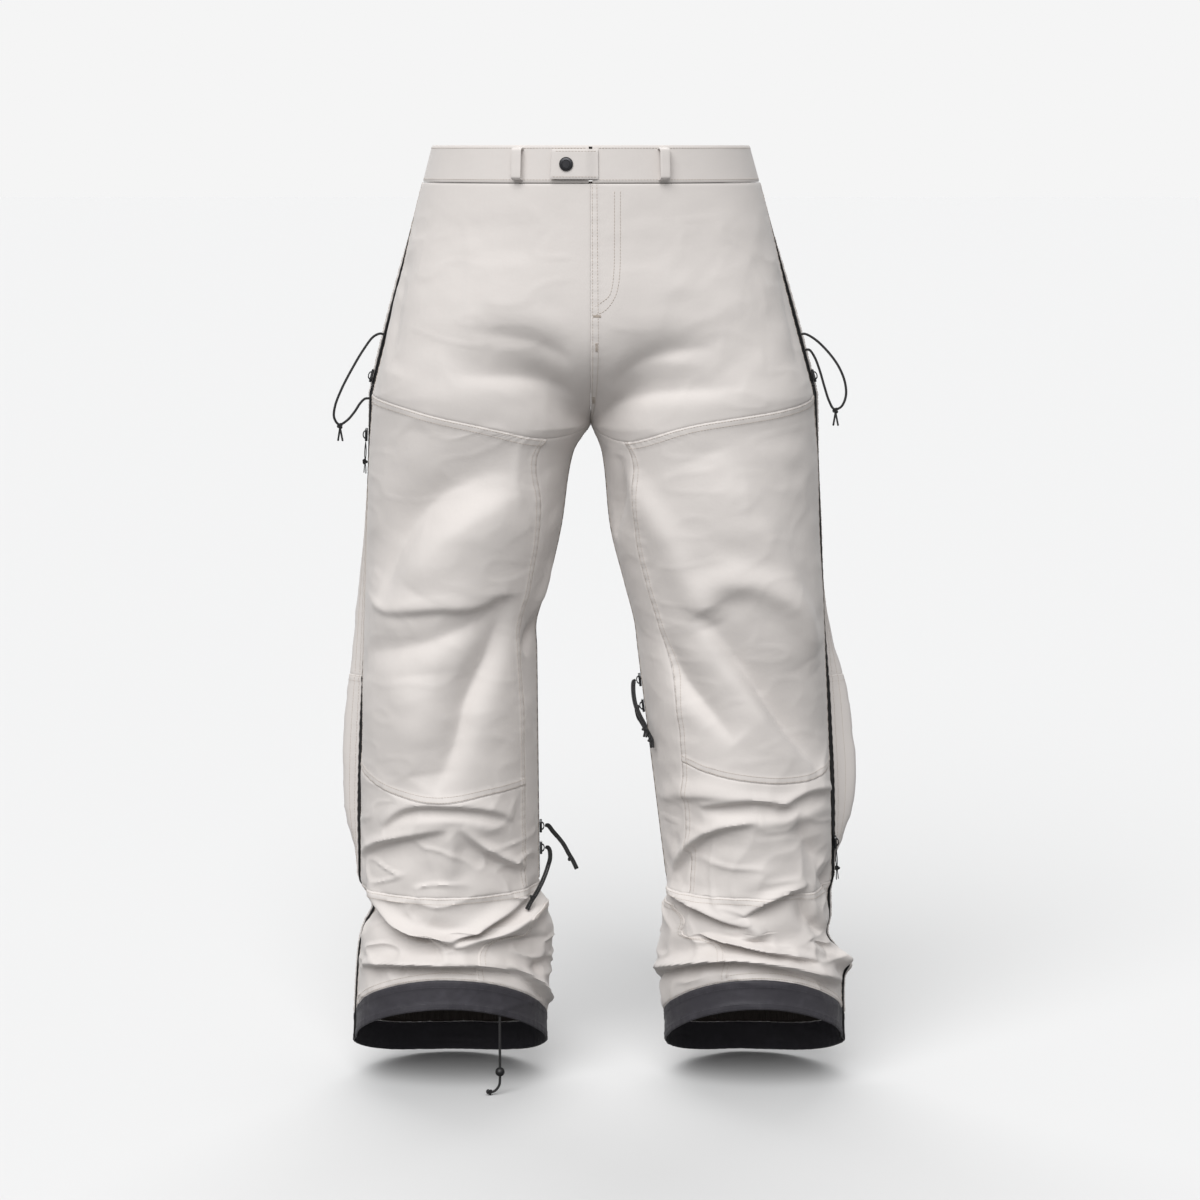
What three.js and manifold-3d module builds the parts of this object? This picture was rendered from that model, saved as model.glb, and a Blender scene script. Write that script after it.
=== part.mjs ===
// Ski pants, hanging as they are worn, in millimetres.
// +Z is up, the front faces -Y, and the origin is the centre of the waist opening.
// "drop" is a height measured down from the waistband's rim.
// "u" runs once round a leg: 0 inseam, 0.25 front, 0.5 outseam, 0.75 back, 1 inseam again.
import * as THREE from 'three';
import Module from 'manifold-3d';
import { mergeVertices } from 'three/addons/utils/BufferGeometryUtils.js';

const wasm = await Module();
wasm.setup();

// Overall sizes
const WAIST_HALF_WIDTH = 165;
const HIP_DROP = 258;
const CROTCH_DROP = 290;
const CALF_SEAM_DROP = 783;
const LENGTH = 1000;
const HEM_ARCH = 95;
const RISE_CURVE = 0.42;
const RISE_SHARPNESS = 3;
const RISE_REACH_U = 0.16;
const HIP_SQUARENESS = 0.07;

// Cloth and clearances
const CLOTH = 2;
const GAP = 0.4;
const SEAM_U = 0.0012;
const LAYER_GAP = 0.5;

// Seams
const WAISTBAND_DROP = 38;
const YOKE_DROP_CENTRE = 98;
const YOKE_DROP_SIDE = 76;
const BACK_KNEE_DROP = 560;
const KNEE_TOP_INNER = CROTCH_DROP + 13;
const KNEE_TOP_OUTER = 265;
const KNEE_END_INNER = 662;
const KNEE_END_OUTER = 643;
const KNEE_END_SAG = 14;
const POCKET_END_DROP = 250;
const HEM_BAND_HEIGHT = 32;
const HEM_BAND_DROP = LENGTH - HEM_BAND_HEIGHT;
const ZIP_HALF_U = 0.01;
const ZIP_START_DROP = 14;
const INNER_SEAM_U = 0.07;

// Legs: the wearer's right is the -X side
const RIGHT = -1;
const LEFT = 1;
const OUTSEAM = { [RIGHT]: [232, 256], [LEFT]: [236, 270] };
const OUTSEAM_DROPS = [HIP_DROP, LENGTH - 40];
// Inseam stations are [height below the crotch, distance from the centre plane].
const INSEAM = {
  [RIGHT]: [[0, 0], [30, 19], [110, 32], [170, 46], [210, 58.3], [240, 58], [320, 57.3], [400, 56.7],
    [480, 56], [500, 55.8], [550, 46], [610, 46], [710, 50]],
  [LEFT]: [[0, 0], [30, 12], [110, 21], [170, 36], [210, 46.3], [240, 50], [320, 60], [400, 70],
    [480, 80], [500, 82.5], [550, 78], [610, 75], [710, 82]],
};
// Front and back stations are [drop, distance from the side seam's plane].
const FRONT_DEPTH = [[0, 118], [40, 120], [100, 124], [170, 128], [240, 122], [290, 111],
  [360, 108], [440, 105], [530, 101], [600, 97], [690, 88], [770, 78], [850, 72], [930, 72], [1000, 74]];
const BACK_DEPTH = [[0, 122], [40, 128], [100, 137], [170, 142], [240, 132], [290, 114],
  [360, 104], [440, 92], [530, 79], [600, 71], [690, 76], [770, 85], [850, 99], [930, 108], [1000, 112]];
const ANKLE_BACK_SET = 14;

// Fastenings
const FLY_END_DROP = 162;
const FACING_GAP = 0.8;
const FLY_CHANNEL = 5.2;
const FLY_TAPE_U = 0.026;
const FLY_TAPE_THICK = 1;
const FLY_FACING_U = 0.046;
const FLY_FACING_THICK = 1.2;
const BAG_U = [0.3, 0.47];
const BAG_TOP = 70;
const BAG_ENDS = [262, 246];
const BAG_THICK = 1.6;
const SLIDER_LENGTH = 13;
const SLIDER_WIDTH = 8;
const SLIDER_THICK = 2.6;
const SLIDER_LIFT = 1.4;
const TEETH_HEIGHT = 0.9;
const TEETH_HALF_U = 0.0042;
const STRAP_WIDTH = 6;
const STRAP_THICK = 1.6;
const STRAP_LENGTH = 34;
const SNAP_RADIUS = 7;
const STUD_RADIUS = 5.5;
const STUD_HEIGHT = 2.4;
const TAB_THICK = 1.8;
const TAB_U = [0.014, -0.074];
const SNAP_U = -0.045;
const WAISTBAND_THICK = 3;
const WAIST_SLIT_U = 0.0035;
const LOOP_WIDTH = 10;
const LOOP_DEPTH = 7.6;
const LOOP_STRAP = 1.4;
const LOOP_FOOT = 2.6;
const LOOP_LIFT = 0.3;
const LOOP_MARGIN = 3;
const LOOP_FRONT_U = 0.14;
const LOOP_BACK_U = 0.85;
const FLAP_U = [0.66, 0.9];
const FLAP_TOP = 112;
const FLAP_HEIGHT = 48;
const FLAP_POINT = 6;
const FLAP_THICK = 1.6;
const KICK_U = [0.84, 1.22];
const KICK_THICK = 1.2;
const GAITER_TOP = CALF_SEAM_DROP + 23;
const GAITER_END = LENGTH - 42;
const GAITER_FOLD = 6;
const GAITER_INSET = 24;
const GAITER_THICK = 1.8;
const POCKET_SLIDER_REST = 3;
const SIDE_SLIDER_DROP = { [RIGHT]: 302, [LEFT]: 742 };
const VENT_SLIDER_DROPS = { [RIGHT]: [724, 748], [LEFT]: [564, 592] };
const CORD_DIAMETER = 2.6;
const HEM_CORD_DIAMETER = 2.8;
const BALL_RADIUS = 5;
const BORE_CLEARANCE = 0.35;

const COLOURS = {
  shell: [0xd6d2cf, 0.78, 0],
  black: [0x26252a, 0.8, 0],
  lining: [0x6f6a68, 0.85, 0],
  tape: [0x17171a, 0.75, 0],
  moulded: [0x141416, 0.45, 0],
  metal: [0x55565a, 0.35, 0.9],
  cord: [0x121214, 0.7, 0],
};

const part = new THREE.Group();

// ---------- numbers ----------
const mix = (a, b, t) => a + (b - a) * t;
const clamp01 = (t) => Math.min(1, Math.max(0, t));
const smooth = (t) => clamp01(t) ** 2 * (3 - 2 * clamp01(t));
const ramp = (drop, from, to) => clamp01((drop - from) / (to - from));

function slopeAt(rows, i) {
  const before = rows[Math.max(0, i - 1)];
  const after = rows[Math.min(rows.length - 1, i + 1)];
  return (after[1] - before[1]) / (after[0] - before[0]);
}

// A smooth curve through [drop, value] stations.
function through(rows, drop) {
  const at = Math.min(Math.max(drop, rows[0][0]), rows[rows.length - 1][0]);
  let i = 0;
  while (i < rows.length - 2 && at > rows[i + 1][0]) i += 1;
  const width = rows[i + 1][0] - rows[i][0];
  const t = (at - rows[i][0]) / width;
  const t2 = t * t;
  const t3 = t2 * t;
  return rows[i][1] * (2 * t3 - 3 * t2 + 1) + rows[i + 1][1] * (3 * t2 - 2 * t3)
    + slopeAt(rows, i) * width * (t3 - 2 * t2 + t) + slopeAt(rows, i + 1) * width * (t3 - t2);
}

// ---------- the garment's outer surface ----------
// The side seam is straight from the waistband to the hip and from the hip to the hem.
function outseamX(side, drop) {
  const [hip, hem] = OUTSEAM[side];
  if (drop >= HIP_DROP) {
    return mix(hip, hem, (drop - OUTSEAM_DROPS[0]) / (OUTSEAM_DROPS[1] - OUTSEAM_DROPS[0]));
  }
  return mix(WAIST_HALF_WIDTH, hip, drop / HIP_DROP);
}

const inseamX = (side, drop) => Math.max(0, through(INSEAM[side], drop - CROTCH_DROP));
const seamY = (drop) => ANKLE_BACK_SET * Math.max(0, (drop - HIP_DROP) / (OUTSEAM_DROPS[1] - OUTSEAM_DROPS[0]));
const frontY = (drop) => -through(FRONT_DEPTH, drop);
const backY = (drop) => through(BACK_DEPTH, drop);

// The hem arches up over the boot in front.
function hemLift(u, drop) {
  const frontness = (0.5 + 0.5 * Math.cos(2 * Math.PI * (u - 0.25))) ** 1.3;
  return HEM_ARCH * frontness * smooth(ramp(drop, CALF_SEAM_DROP, HEM_BAND_DROP - 10));
}

function legSection(side, u, drop) {
  const angle = 2 * Math.PI * u;
  const inner = inseamX(side, drop);
  const outer = outseamX(side, drop);
  const middle = seamY(drop);
  const sine = Math.sin(angle);
  const reach = sine > 0 ? middle - frontY(drop) : backY(drop) - middle;
  return [mix(outer, inner, 0.5 + 0.5 * Math.cos(angle)), middle - reach * sine];
}

function torsoSection(side, u, drop) {
  const angle = Math.PI * u;
  const cosine = Math.cos(angle);
  const reach = cosine > 0 ? -frontY(drop) : backY(drop);
  const full = 1 + HIP_SQUARENESS * smooth(drop / HIP_DROP) * Math.sin(2 * angle) ** 2;
  return [outseamX(side, drop) * Math.sin(angle) * full, -reach * cosine * full];
}

// 0 at the crotch, 1 above the curved part of the rise. It starts sharply only near the rise itself.
function torsoShare(u, drop) {
  const t = clamp01((CROTCH_DROP - drop) / CROTCH_DROP / RISE_CURVE);
  const away = smooth(Math.min(u, 1 - u) / RISE_REACH_U);
  return mix(1 - (1 - t) ** RISE_SHARPNESS, smooth(t), away);
}

function surfacePoint(side, u, drop) {
  const share = torsoShare(u, drop);
  const leg = legSection(side, u, drop);
  const torso = torsoSection(side, u, drop);
  const x = mix(leg[0], torso[0], share) + (1 - share) * GAP;
  const y = mix(leg[1], torso[1], share);
  return new THREE.Vector3(side * x, y, -drop + hemLift(u, drop));
}

function surfaceNormal(side, u, drop) {
  const du = 0.002;
  const dd = 0.8;
  const low = drop > CROTCH_DROP ? Math.max(drop - dd, CROTCH_DROP + 0.01) : drop - dd;
  const high = drop > CROTCH_DROP ? drop + dd : Math.min(drop + dd, CROTCH_DROP);
  const across = surfacePoint(side, u + du, drop).sub(surfacePoint(side, u - du, drop));
  const down = surfacePoint(side, u, high).sub(surfacePoint(side, u, low));
  return down.cross(across).multiplyScalar(side).normalize();
}

function offsetPoint(side, u, drop, offset) {
  return surfacePoint(side, u, drop).addScaledVector(surfaceNormal(side, u, drop), offset);
}

// A frame on the surface: X across the seam, Y up along it, Z outwards.
function surfaceFrame(side, u, drop, offset) {
  const out = surfaceNormal(side, u, drop);
  const up = surfacePoint(side, u, drop - 2).sub(surfacePoint(side, u, drop + 2));
  up.addScaledVector(out, -up.dot(out)).normalize();
  const across = new THREE.Vector3().crossVectors(up, out);
  const frame = new THREE.Matrix4().makeBasis(across, up, out);
  return frame.setPosition(offsetPoint(side, u, drop, offset));
}

// ---------- solids ----------
function add(name, geometry, slot) {
  const [colour, roughness, metalness] = COLOURS[slot];
  const material = new THREE.MeshStandardMaterial({ color: colour, roughness, metalness });
  const mesh = new THREE.Mesh(geometry, material);
  mesh.name = name;
  part.add(mesh);
}

function addAt(name, geometry, slot, frame) {
  add(name, geometry.applyMatrix4(frame), slot);
}

function signedVolume(points, faces) {
  let total = 0;
  for (const [a, b, c] of faces) {
    total += points[a].dot(new THREE.Vector3().crossVectors(points[b], points[c]));
  }
  return total;
}

function solidFrom(points, faces) {
  const flip = signedVolume(points, faces) < 0;
  const geometry = new THREE.BufferGeometry();
  const numbers = points.flatMap((p) => [p.x, p.y, p.z]);
  geometry.setAttribute('position', new THREE.Float32BufferAttribute(numbers, 3));
  geometry.setIndex(faces.flatMap(([a, b, c]) => (flip ? [a, c, b] : [a, b, c])));
  return geometry;
}

// A closed sheet of cloth between an outer and an inner grid of points, rows by columns.
// A ring joins its last column to its first.
function sheetSolid(outer, inner, ring = false) {
  const rows = outer.length;
  const cols = outer[0].length;
  const points = [...outer.flat(), ...inner.flat()];
  const under = rows * cols;
  const faces = [];
  const quad = (a, b, c, d) => faces.push([a, b, c], [a, c, d]);
  const at = (r, c) => r * cols + (c % cols);
  const spans = ring ? cols : cols - 1;
  for (let r = 0; r < rows - 1; r += 1) {
    for (let c = 0; c < spans; c += 1) {
      quad(at(r, c), at(r, c + 1), at(r + 1, c + 1), at(r + 1, c));
      quad(under + at(r, c), under + at(r + 1, c), under + at(r + 1, c + 1), under + at(r, c + 1));
    }
  }
  for (let c = 0; c < spans; c += 1) {
    quad(at(0, c), under + at(0, c), under + at(0, c + 1), at(0, c + 1));
    quad(at(rows - 1, c), at(rows - 1, c + 1), under + at(rows - 1, c + 1), under + at(rows - 1, c));
  }
  for (let r = 0; r < rows - 1 && !ring; r += 1) {
    quad(at(r, 0), at(r + 1, 0), under + at(r + 1, 0), under + at(r, 0));
    quad(at(r, cols - 1), under + at(r, cols - 1), under + at(r + 1, cols - 1), at(r + 1, cols - 1));
  }
  return solidFrom(points, faces);
}

// A cloth patch: columns are u values, rows run from 0 at the top edge to 1 at the bottom edge.
function patch(side, columns, rows, edges, offsets = [0, -CLOTH]) {
  const grid = (offset) => rows.map((t) => columns.map((column) => {
    const drop = mix(edges.top(column), edges.end(column), t);
    return offsetPoint(side, edges.u ? edges.u(column, drop) : column, drop, offset);
  }));
  return sheetSolid(grid(offsets[0]), grid(offsets[1]));
}

const steps = (from, to, count) => Array.from({ length: count + 1 }, (_, i) => mix(from, to, i / count));
const trimmed = (columns) => {
  const inner = columns.slice(1, -1);
  return [columns[0] + SEAM_U, ...inner, columns[columns.length - 1] - SEAM_U];
};

// Seam lines shared by neighbouring panels.
const FRONT_U = steps(INNER_SEAM_U, 0.5 - ZIP_HALF_U, 9);
const BACK_U = steps(0.5 + ZIP_HALF_U, 1 - ZIP_HALF_U, 10);
const INNER_U = [ZIP_HALF_U, mix(ZIP_HALF_U, INNER_SEAM_U, 0.5), INNER_SEAM_U];
const frontShare = (u) => (u - INNER_SEAM_U) / (0.5 - ZIP_HALF_U - INNER_SEAM_U);
const kneeTop = (u) => (u < INNER_SEAM_U ? mix(CROTCH_DROP, KNEE_TOP_INNER, u / INNER_SEAM_U)
  : mix(KNEE_TOP_INNER, KNEE_TOP_OUTER, frontShare(u)));
const kneeEnd = (u) => mix(KNEE_END_INNER, KNEE_END_OUTER, frontShare(u))
  + KNEE_END_SAG * Math.sin(Math.PI * clamp01(frontShare(u)));
const yokeEnd = (u) => mix(YOKE_DROP_SIDE, YOKE_DROP_CENTRE, (u - 0.5) / 0.5);

const THIGH_ROWS = [0, 0.16, 0.32, 0.48, 0.62, 0.75, 0.86, 0.94, 0.98, 1];

function frontThigh(side, name) {
  const columns = trimmed([0, INNER_SEAM_U / 2, ...FRONT_U]);
  const edges = { top: () => WAISTBAND_DROP + GAP, end: (u) => kneeTop(u) - GAP };
  add(name, patch(side, columns, THIGH_ROWS, edges), 'shell');
}

function kneePanel(side, name) {
  const edges = { top: (u) => kneeTop(u) + GAP, end: (u) => kneeEnd(u) - GAP };
  add(name, patch(side, trimmed(FRONT_U), steps(0, 1, 8), edges), 'shell');
}

function shinPanel(side, name) {
  const edges = { top: (u) => kneeEnd(u) + GAP, end: () => CALF_SEAM_DROP - GAP };
  add(name, patch(side, trimmed(FRONT_U), steps(0, 1, 3), edges), 'shell');
}

// The inseam zip starts a little below the crotch, and the panels close up above it.
const inseamHalf = (drop) => ZIP_HALF_U * ramp(drop, CROTCH_DROP, CROTCH_DROP + ZIP_START_DROP);

// Shares of the inner panel's height at which it and its zip have a row.
const VENT_ROWS = [0.1, 0.2, 0.32, 0.48, 0.64, 0.8, 0.9, 1];

function innerPanel(side, name) {
  const columns = trimmed(INNER_U);
  const edges = {
    top: (u) => kneeTop(u) + GAP,
    end: () => CALF_SEAM_DROP - GAP,
    u: (column, drop) => (column < ZIP_HALF_U * 1.5
      ? inseamHalf(drop) + SEAM_U : column),
  };
  const first = (ZIP_START_DROP - GAP) / (CALF_SEAM_DROP - CROTCH_DROP - 2 * GAP);
  add(name, patch(side, columns, [0, first, ...VENT_ROWS], edges), 'shell');
}

function backThigh(side, name) {
  const top = YOKE_DROP_CENTRE + GAP;
  const end = BACK_KNEE_DROP - GAP;
  const fraction = (drop) => (drop - top) / (end - top);
  const edges = {
    top: (u) => yokeEnd(u) + GAP,
    end: () => end,
    u: (column, drop) => mix(0.5 + ZIP_HALF_U + SEAM_U, 1 - inseamHalf(drop) - SEAM_U,
      (column - BACK_U[0]) / (BACK_U[BACK_U.length - 1] - BACK_U[0])),
  };
  const rows = [0, 0.14, 0.25, 0.34, fraction(CROTCH_DROP - 14), fraction(CROTCH_DROP - 4),
    fraction(CROTCH_DROP), fraction(CROTCH_DROP + ZIP_START_DROP), 0.55, 0.7, 0.85, 1];
  add(name, patch(side, BACK_U, rows, edges), 'shell');
}

function calfPanel(side, name) {
  const edges = { top: () => BACK_KNEE_DROP + GAP, end: () => CALF_SEAM_DROP - GAP };
  add(name, patch(side, trimmed(BACK_U), steps(0, 1, 5), edges), 'shell');
}

// From the outseam zip round the back and the inseam to the zip again.
const AROUND_U = [...BACK_U, 1, ...[...INNER_U, ...FRONT_U.slice(1)].map((u) => u + 1)];
const LOWER_ROWS = steps(0, 1, 5);

function lowerLeg(side, name) {
  const edges = { top: () => CALF_SEAM_DROP + GAP, end: () => HEM_BAND_DROP - GAP };
  add(name, patch(side, trimmed(AROUND_U), LOWER_ROWS, edges), 'shell');
}

function hemBand(side, name) {
  const edges = { top: () => HEM_BAND_DROP + GAP, end: () => LENGTH };
  add(name, patch(side, trimmed(AROUND_U), [0, 1], edges), 'black');
}

// A tough patch laid over the inner side of the lower leg.
function kickPatch(side, name) {
  const columns = AROUND_U.filter((u) => u > KICK_U[0] && u < KICK_U[1]);
  const edges = { top: () => CALF_SEAM_DROP + GAP, end: () => HEM_BAND_DROP - GAP };
  const offsets = [LAYER_GAP + KICK_THICK, LAYER_GAP];
  add(name, patch(side, columns, LOWER_ROWS.slice(1), edges, offsets), 'shell');
}

function gaiter(side, name) {
  const columns = [...AROUND_U, 1.5];
  const depth = [CLOTH + LAYER_GAP, CLOTH + GAITER_FOLD, GAITER_INSET * 0.7, GAITER_INSET, GAITER_INSET];
  const rows = steps(0, 1, depth.length - 1);
  const grid = (thickness) => rows.map((t, r) => columns.map((u) => {
    const drop = mix(GAITER_TOP, GAITER_END, t);
    return offsetPoint(side, u, drop, -depth[r] - thickness);
  }));
  add(name, sheetSolid(grid(0), grid(GAITER_THICK), true), 'lining');
}

// ---------- waist ----------
// w runs round the waist: -1 front centre, -0.5 right hip, 0 back centre, 0.5 left hip, 1 front centre.
const aroundWaist = (w, drop, offset) => offsetPoint(w < 0 ? RIGHT : LEFT, 1 - Math.abs(w), drop, offset);
// f runs across the front centre: negative on the right.
const acrossFront = (f, drop, offset) => offsetPoint(f < 0 ? RIGHT : LEFT, Math.abs(f), drop, offset);

function bandSheet(place, positions, drops, outerAt, thickness) {
  const grid = (extra) => drops.map((drop) => positions.map((p) => place(p, drop, outerAt(p) - extra)));
  return sheetSolid(grid(0), grid(thickness));
}

const bothWays = (side) => [...side.map((w) => -w).reverse(), 0, ...side];

// The waistband's rim and lower edge are level.
function waistband() {
  const positions = bothWays([...steps(0.04, 0.96, 13), 1 - WAIST_SLIT_U]);
  const level = (w, drop, offset) => aroundWaist(w, drop, offset).setZ(-drop);
  const drops = [0, WAISTBAND_DROP - GAP];
  add('waistband', bandSheet(level, positions, drops, () => 0, WAISTBAND_THICK), 'shell');
}

function seatYoke() {
  const half = BACK_U.map((u) => 1 - u).reverse();
  const reach = 0.5 - ZIP_HALF_U - SEAM_U;
  const positions = bothWays([...half.slice(1, -1), reach]);
  const top = WAISTBAND_DROP + GAP;
  const grid = (offset) => [0, 0.5, 1].map((t) => positions.map((w) => {
    const drop = mix(top, yokeEnd(1 - Math.abs(w)) - GAP, t);
    return aroundWaist(w, drop, offset);
  }));
  add('seat_yoke', sheetSolid(grid(0), grid(-CLOTH)), 'shell');
}

function beltLoop(name, side, u) {
  const half = WAISTBAND_DROP / 2 - LOOP_MARGIN;
  const lift = LOOP_LIFT;
  const face = LOOP_DEPTH + LOOP_STRAP;
  const foot = half - LOOP_FOOT;
  const outline = new THREE.Shape();
  const corners = [[lift, half], [face, half], [face, -half], [lift, -half], [lift, -foot],
    [LOOP_DEPTH, -foot], [LOOP_DEPTH, foot], [lift, foot]];
  corners.forEach(([out, up], i) => (i ? outline.lineTo(out, up) : outline.moveTo(out, up)));
  outline.closePath();
  const strap = new THREE.ExtrudeGeometry(outline, { depth: LOOP_WIDTH, bevelEnabled: false });
  strap.translate(0, 0, -LOOP_WIDTH / 2);
  strap.applyMatrix4(new THREE.Matrix4().makeBasis(
    new THREE.Vector3(0, 0, 1), new THREE.Vector3(0, 1, 0), new THREE.Vector3(-1, 0, 0)));
  addAt(name, strap, 'shell', surfaceFrame(side, u, WAISTBAND_DROP / 2, 0));
}

const TAB_SPACE = LAYER_GAP + STUD_HEIGHT + GAP;

function closure() {
  const positions = [TAB_U[0], 0.006, -0.006, -0.02, -0.035, -0.055, TAB_U[1]];
  const rise = (f) => mix(LAYER_GAP, TAB_SPACE, smooth(ramp(-f, -TAB_U[0], 0.012))) + TAB_THICK;
  const drops = [LOOP_MARGIN + 1, WAISTBAND_DROP - LOOP_MARGIN - 1];
  add('closure_tab', bandSheet(acrossFront, positions, drops, rise, TAB_THICK), 'shell');
  const disc = new THREE.CylinderGeometry(STUD_RADIUS, STUD_RADIUS + 0.8, STUD_HEIGHT, 20);
  disc.rotateX(Math.PI / 2);
  const middle = WAISTBAND_DROP / 2;
  const frame = (offset) => surfaceFrame(RIGHT, -SNAP_U, middle, offset);
  addAt('snap_stud', disc, 'metal', frame(LAYER_GAP + STUD_HEIGHT / 2));
  const dome = [[0, 0], [SNAP_RADIUS, 0], [SNAP_RADIUS, 0.9], [SNAP_RADIUS - 1, 1.9], [SNAP_RADIUS - 2.6, 2.2],
    [SNAP_RADIUS - 3.2, 1.7], [0, 1.7]].map(([r, h]) => new THREE.Vector2(r, h));
  const cap = new THREE.LatheGeometry(dome, 24);
  cap.rotateX(Math.PI / 2);
  addAt('snap_cap', cap, 'metal', frame(TAB_SPACE + TAB_THICK + LAYER_GAP));
}

// ---------- sliders, zips and their pulls ----------
function manifoldOf(geometry) {
  const bare = geometry.clone();
  bare.deleteAttribute('normal');
  bare.deleteAttribute('uv');
  const merged = mergeVertices(bare, 1e-4);
  const mesh = new wasm.Mesh({
    numProp: 3,
    vertProperties: new Float32Array(merged.attributes.position.array),
    triVerts: new Uint32Array(merged.index.array),
  });
  return new wasm.Manifold(mesh);
}

function geometryOf(solid) {
  const mesh = solid.getMesh();
  const geometry = new THREE.BufferGeometry();
  geometry.setAttribute('position', new THREE.BufferAttribute(new Float32Array(mesh.vertProperties), 3));
  geometry.setIndex(new THREE.BufferAttribute(new Uint32Array(mesh.triVerts), 1));
  return geometry;
}

// The body lies in the XY plane with its mouth up; a bridge over it holds the pull.
function sliderGeometry(mirrored = false) {
  const w = SLIDER_WIDTH / 2;
  const l = SLIDER_LENGTH / 2;
  const outline = new THREE.Shape();
  outline.moveTo(-w * 0.62, -l);
  outline.lineTo(w * 0.62, -l);
  outline.quadraticCurveTo(w * 0.8, -l * 0.2, w, l * 0.45);
  outline.quadraticCurveTo(w, l, w * 0.5, l);
  outline.lineTo(0, l * 0.82);
  outline.lineTo(-w * 0.5, l);
  outline.quadraticCurveTo(-w, l, -w, l * 0.45);
  outline.quadraticCurveTo(-w * 0.8, -l * 0.2, -w * 0.62, -l);
  const body = new THREE.ExtrudeGeometry(outline, {
    depth: SLIDER_THICK - 0.8, bevelEnabled: true, bevelThickness: 0.4, bevelSize: 0.35, bevelSegments: 1,
    curveSegments: 3,
  });
  body.translate(0, 0, 0.4);
  const arch = new THREE.Shape();
  arch.moveTo(-l * 0.72, 0);
  arch.quadraticCurveTo(-l * 0.6, SLIDER_THICK * 1.1, 0, SLIDER_THICK * 1.1);
  arch.quadraticCurveTo(l * 0.6, SLIDER_THICK * 1.1, l * 0.72, 0);
  arch.lineTo(l * 0.5, 0);
  arch.quadraticCurveTo(l * 0.4, SLIDER_THICK * 0.7, 0, SLIDER_THICK * 0.7);
  arch.quadraticCurveTo(-l * 0.4, SLIDER_THICK * 0.7, -l * 0.5, 0);
  arch.closePath();
  const bridge = new THREE.ExtrudeGeometry(arch, { depth: 2.2, bevelEnabled: false, curveSegments: 4 });
  bridge.translate(0, 0, -1.1);
  bridge.applyMatrix4(new THREE.Matrix4().makeBasis(
    new THREE.Vector3(0, 1, 0), new THREE.Vector3(0, 0, 1), new THREE.Vector3(1, 0, 0)));
  bridge.translate(0, 0, SLIDER_THICK - 0.25);
  const whole = geometryOf(manifoldOf(body).add(manifoldOf(bridge)));
  return mirrored ? whole.rotateZ(Math.PI) : whole;
}

// A zip's two tapes and its closed teeth, in the slot between two panels.
function zipStrip(side, centre, drops) {
  const teeth = TEETH_HALF_U;
  const profile = [[-ZIP_HALF_U, 0], [-teeth - 0.001, 0], [-teeth, TEETH_HEIGHT], [teeth, TEETH_HEIGHT],
    [teeth + 0.001, 0], [ZIP_HALF_U, 0]];
  const halfAt = (drop) => (centre === 0 ? inseamHalf(drop) / ZIP_HALF_U : 1);
  const grid = (flat) => drops.map((drop) => profile.map(([across, height]) => {
    const edge = Math.sign(across) * Math.max(0, Math.abs(across) * halfAt(drop) - SEAM_U * 0.2);
    return offsetPoint(side, centre + edge, drop, flat ? -CLOTH : height);
  }));
  return sheetSolid(grid(false), grid(true));
}

const SIDE_ZIP_DROPS = [POCKET_END_DROP + GAP * 2, ...steps(HIP_DROP, CALF_SEAM_DROP, 6),
  ...steps(CALF_SEAM_DROP, HEM_BAND_DROP, 5).slice(1), LENGTH];
const VENT_ZIP_DROPS = [CROTCH_DROP + ZIP_START_DROP + 2,
  ...VENT_ROWS.map((t) => mix(CROTCH_DROP + GAP, CALF_SEAM_DROP - GAP, t))];
const POCKET_ZIP_DROPS = steps(WAISTBAND_DROP + GAP, POCKET_END_DROP - GAP, 6);

function pocketBag(side, name) {
  const columns = FRONT_U.filter((u) => u > BAG_U[0] && u < BAG_U[1]);
  const edges = { top: () => BAG_TOP, end: (u) => mix(...BAG_ENDS, smooth(ramp(u, ...BAG_U))) };
  const offsets = [-CLOTH - FACING_GAP, -CLOTH - FACING_GAP - BAG_THICK];
  add(name, patch(side, columns, steps(0, 1, 4), edges, offsets), 'lining');
}

function pocketZip(side, word) {
  add(`pocket_zip_${word}`, zipStrip(side, 0.5, POCKET_ZIP_DROPS), 'tape');
  const rest = POCKET_END_DROP - SLIDER_LENGTH / 2 - POCKET_SLIDER_REST;
  addAt(`pocket_slider_${word}`, sliderGeometry(true), 'metal', surfaceFrame(side, 0.5, rest, SLIDER_LIFT));
  pocketBag(side, `pocket_bag_${word}`);
}

// A webbing pull hangs from the slider's bridge and ends in a knot.
function strapPull(frame) {
  const strap = new THREE.BoxGeometry(STRAP_WIDTH, STRAP_LENGTH, STRAP_THICK, 1, 1, 1);
  strap.translate(0, -STRAP_LENGTH / 2, 0);
  const knot = new THREE.SphereGeometry(1, 12, 8);
  knot.scale(STRAP_WIDTH * 0.62, STRAP_WIDTH * 0.5, STRAP_THICK * 1.3);
  knot.translate(0, -STRAP_LENGTH * 0.62, 0);
  return geometryOf(manifoldOf(strap).add(manifoldOf(knot))).applyMatrix4(frame);
}

function sideZip(side, word) {
  add(`side_zip_${word}`, zipStrip(side, 0.5, SIDE_ZIP_DROPS), 'tape');
  const drop = SIDE_SLIDER_DROP[side];
  addAt(`side_slider_${word}`, sliderGeometry(), 'metal', surfaceFrame(side, 0.5, drop, SLIDER_LIFT));
  const hang = surfaceFrame(side, 0.5, drop + SLIDER_LENGTH / 2 + 1.2, SLIDER_LIFT + SLIDER_THICK);
  add(`side_pull_${word}`, strapPull(hang), 'black');
}

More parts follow.
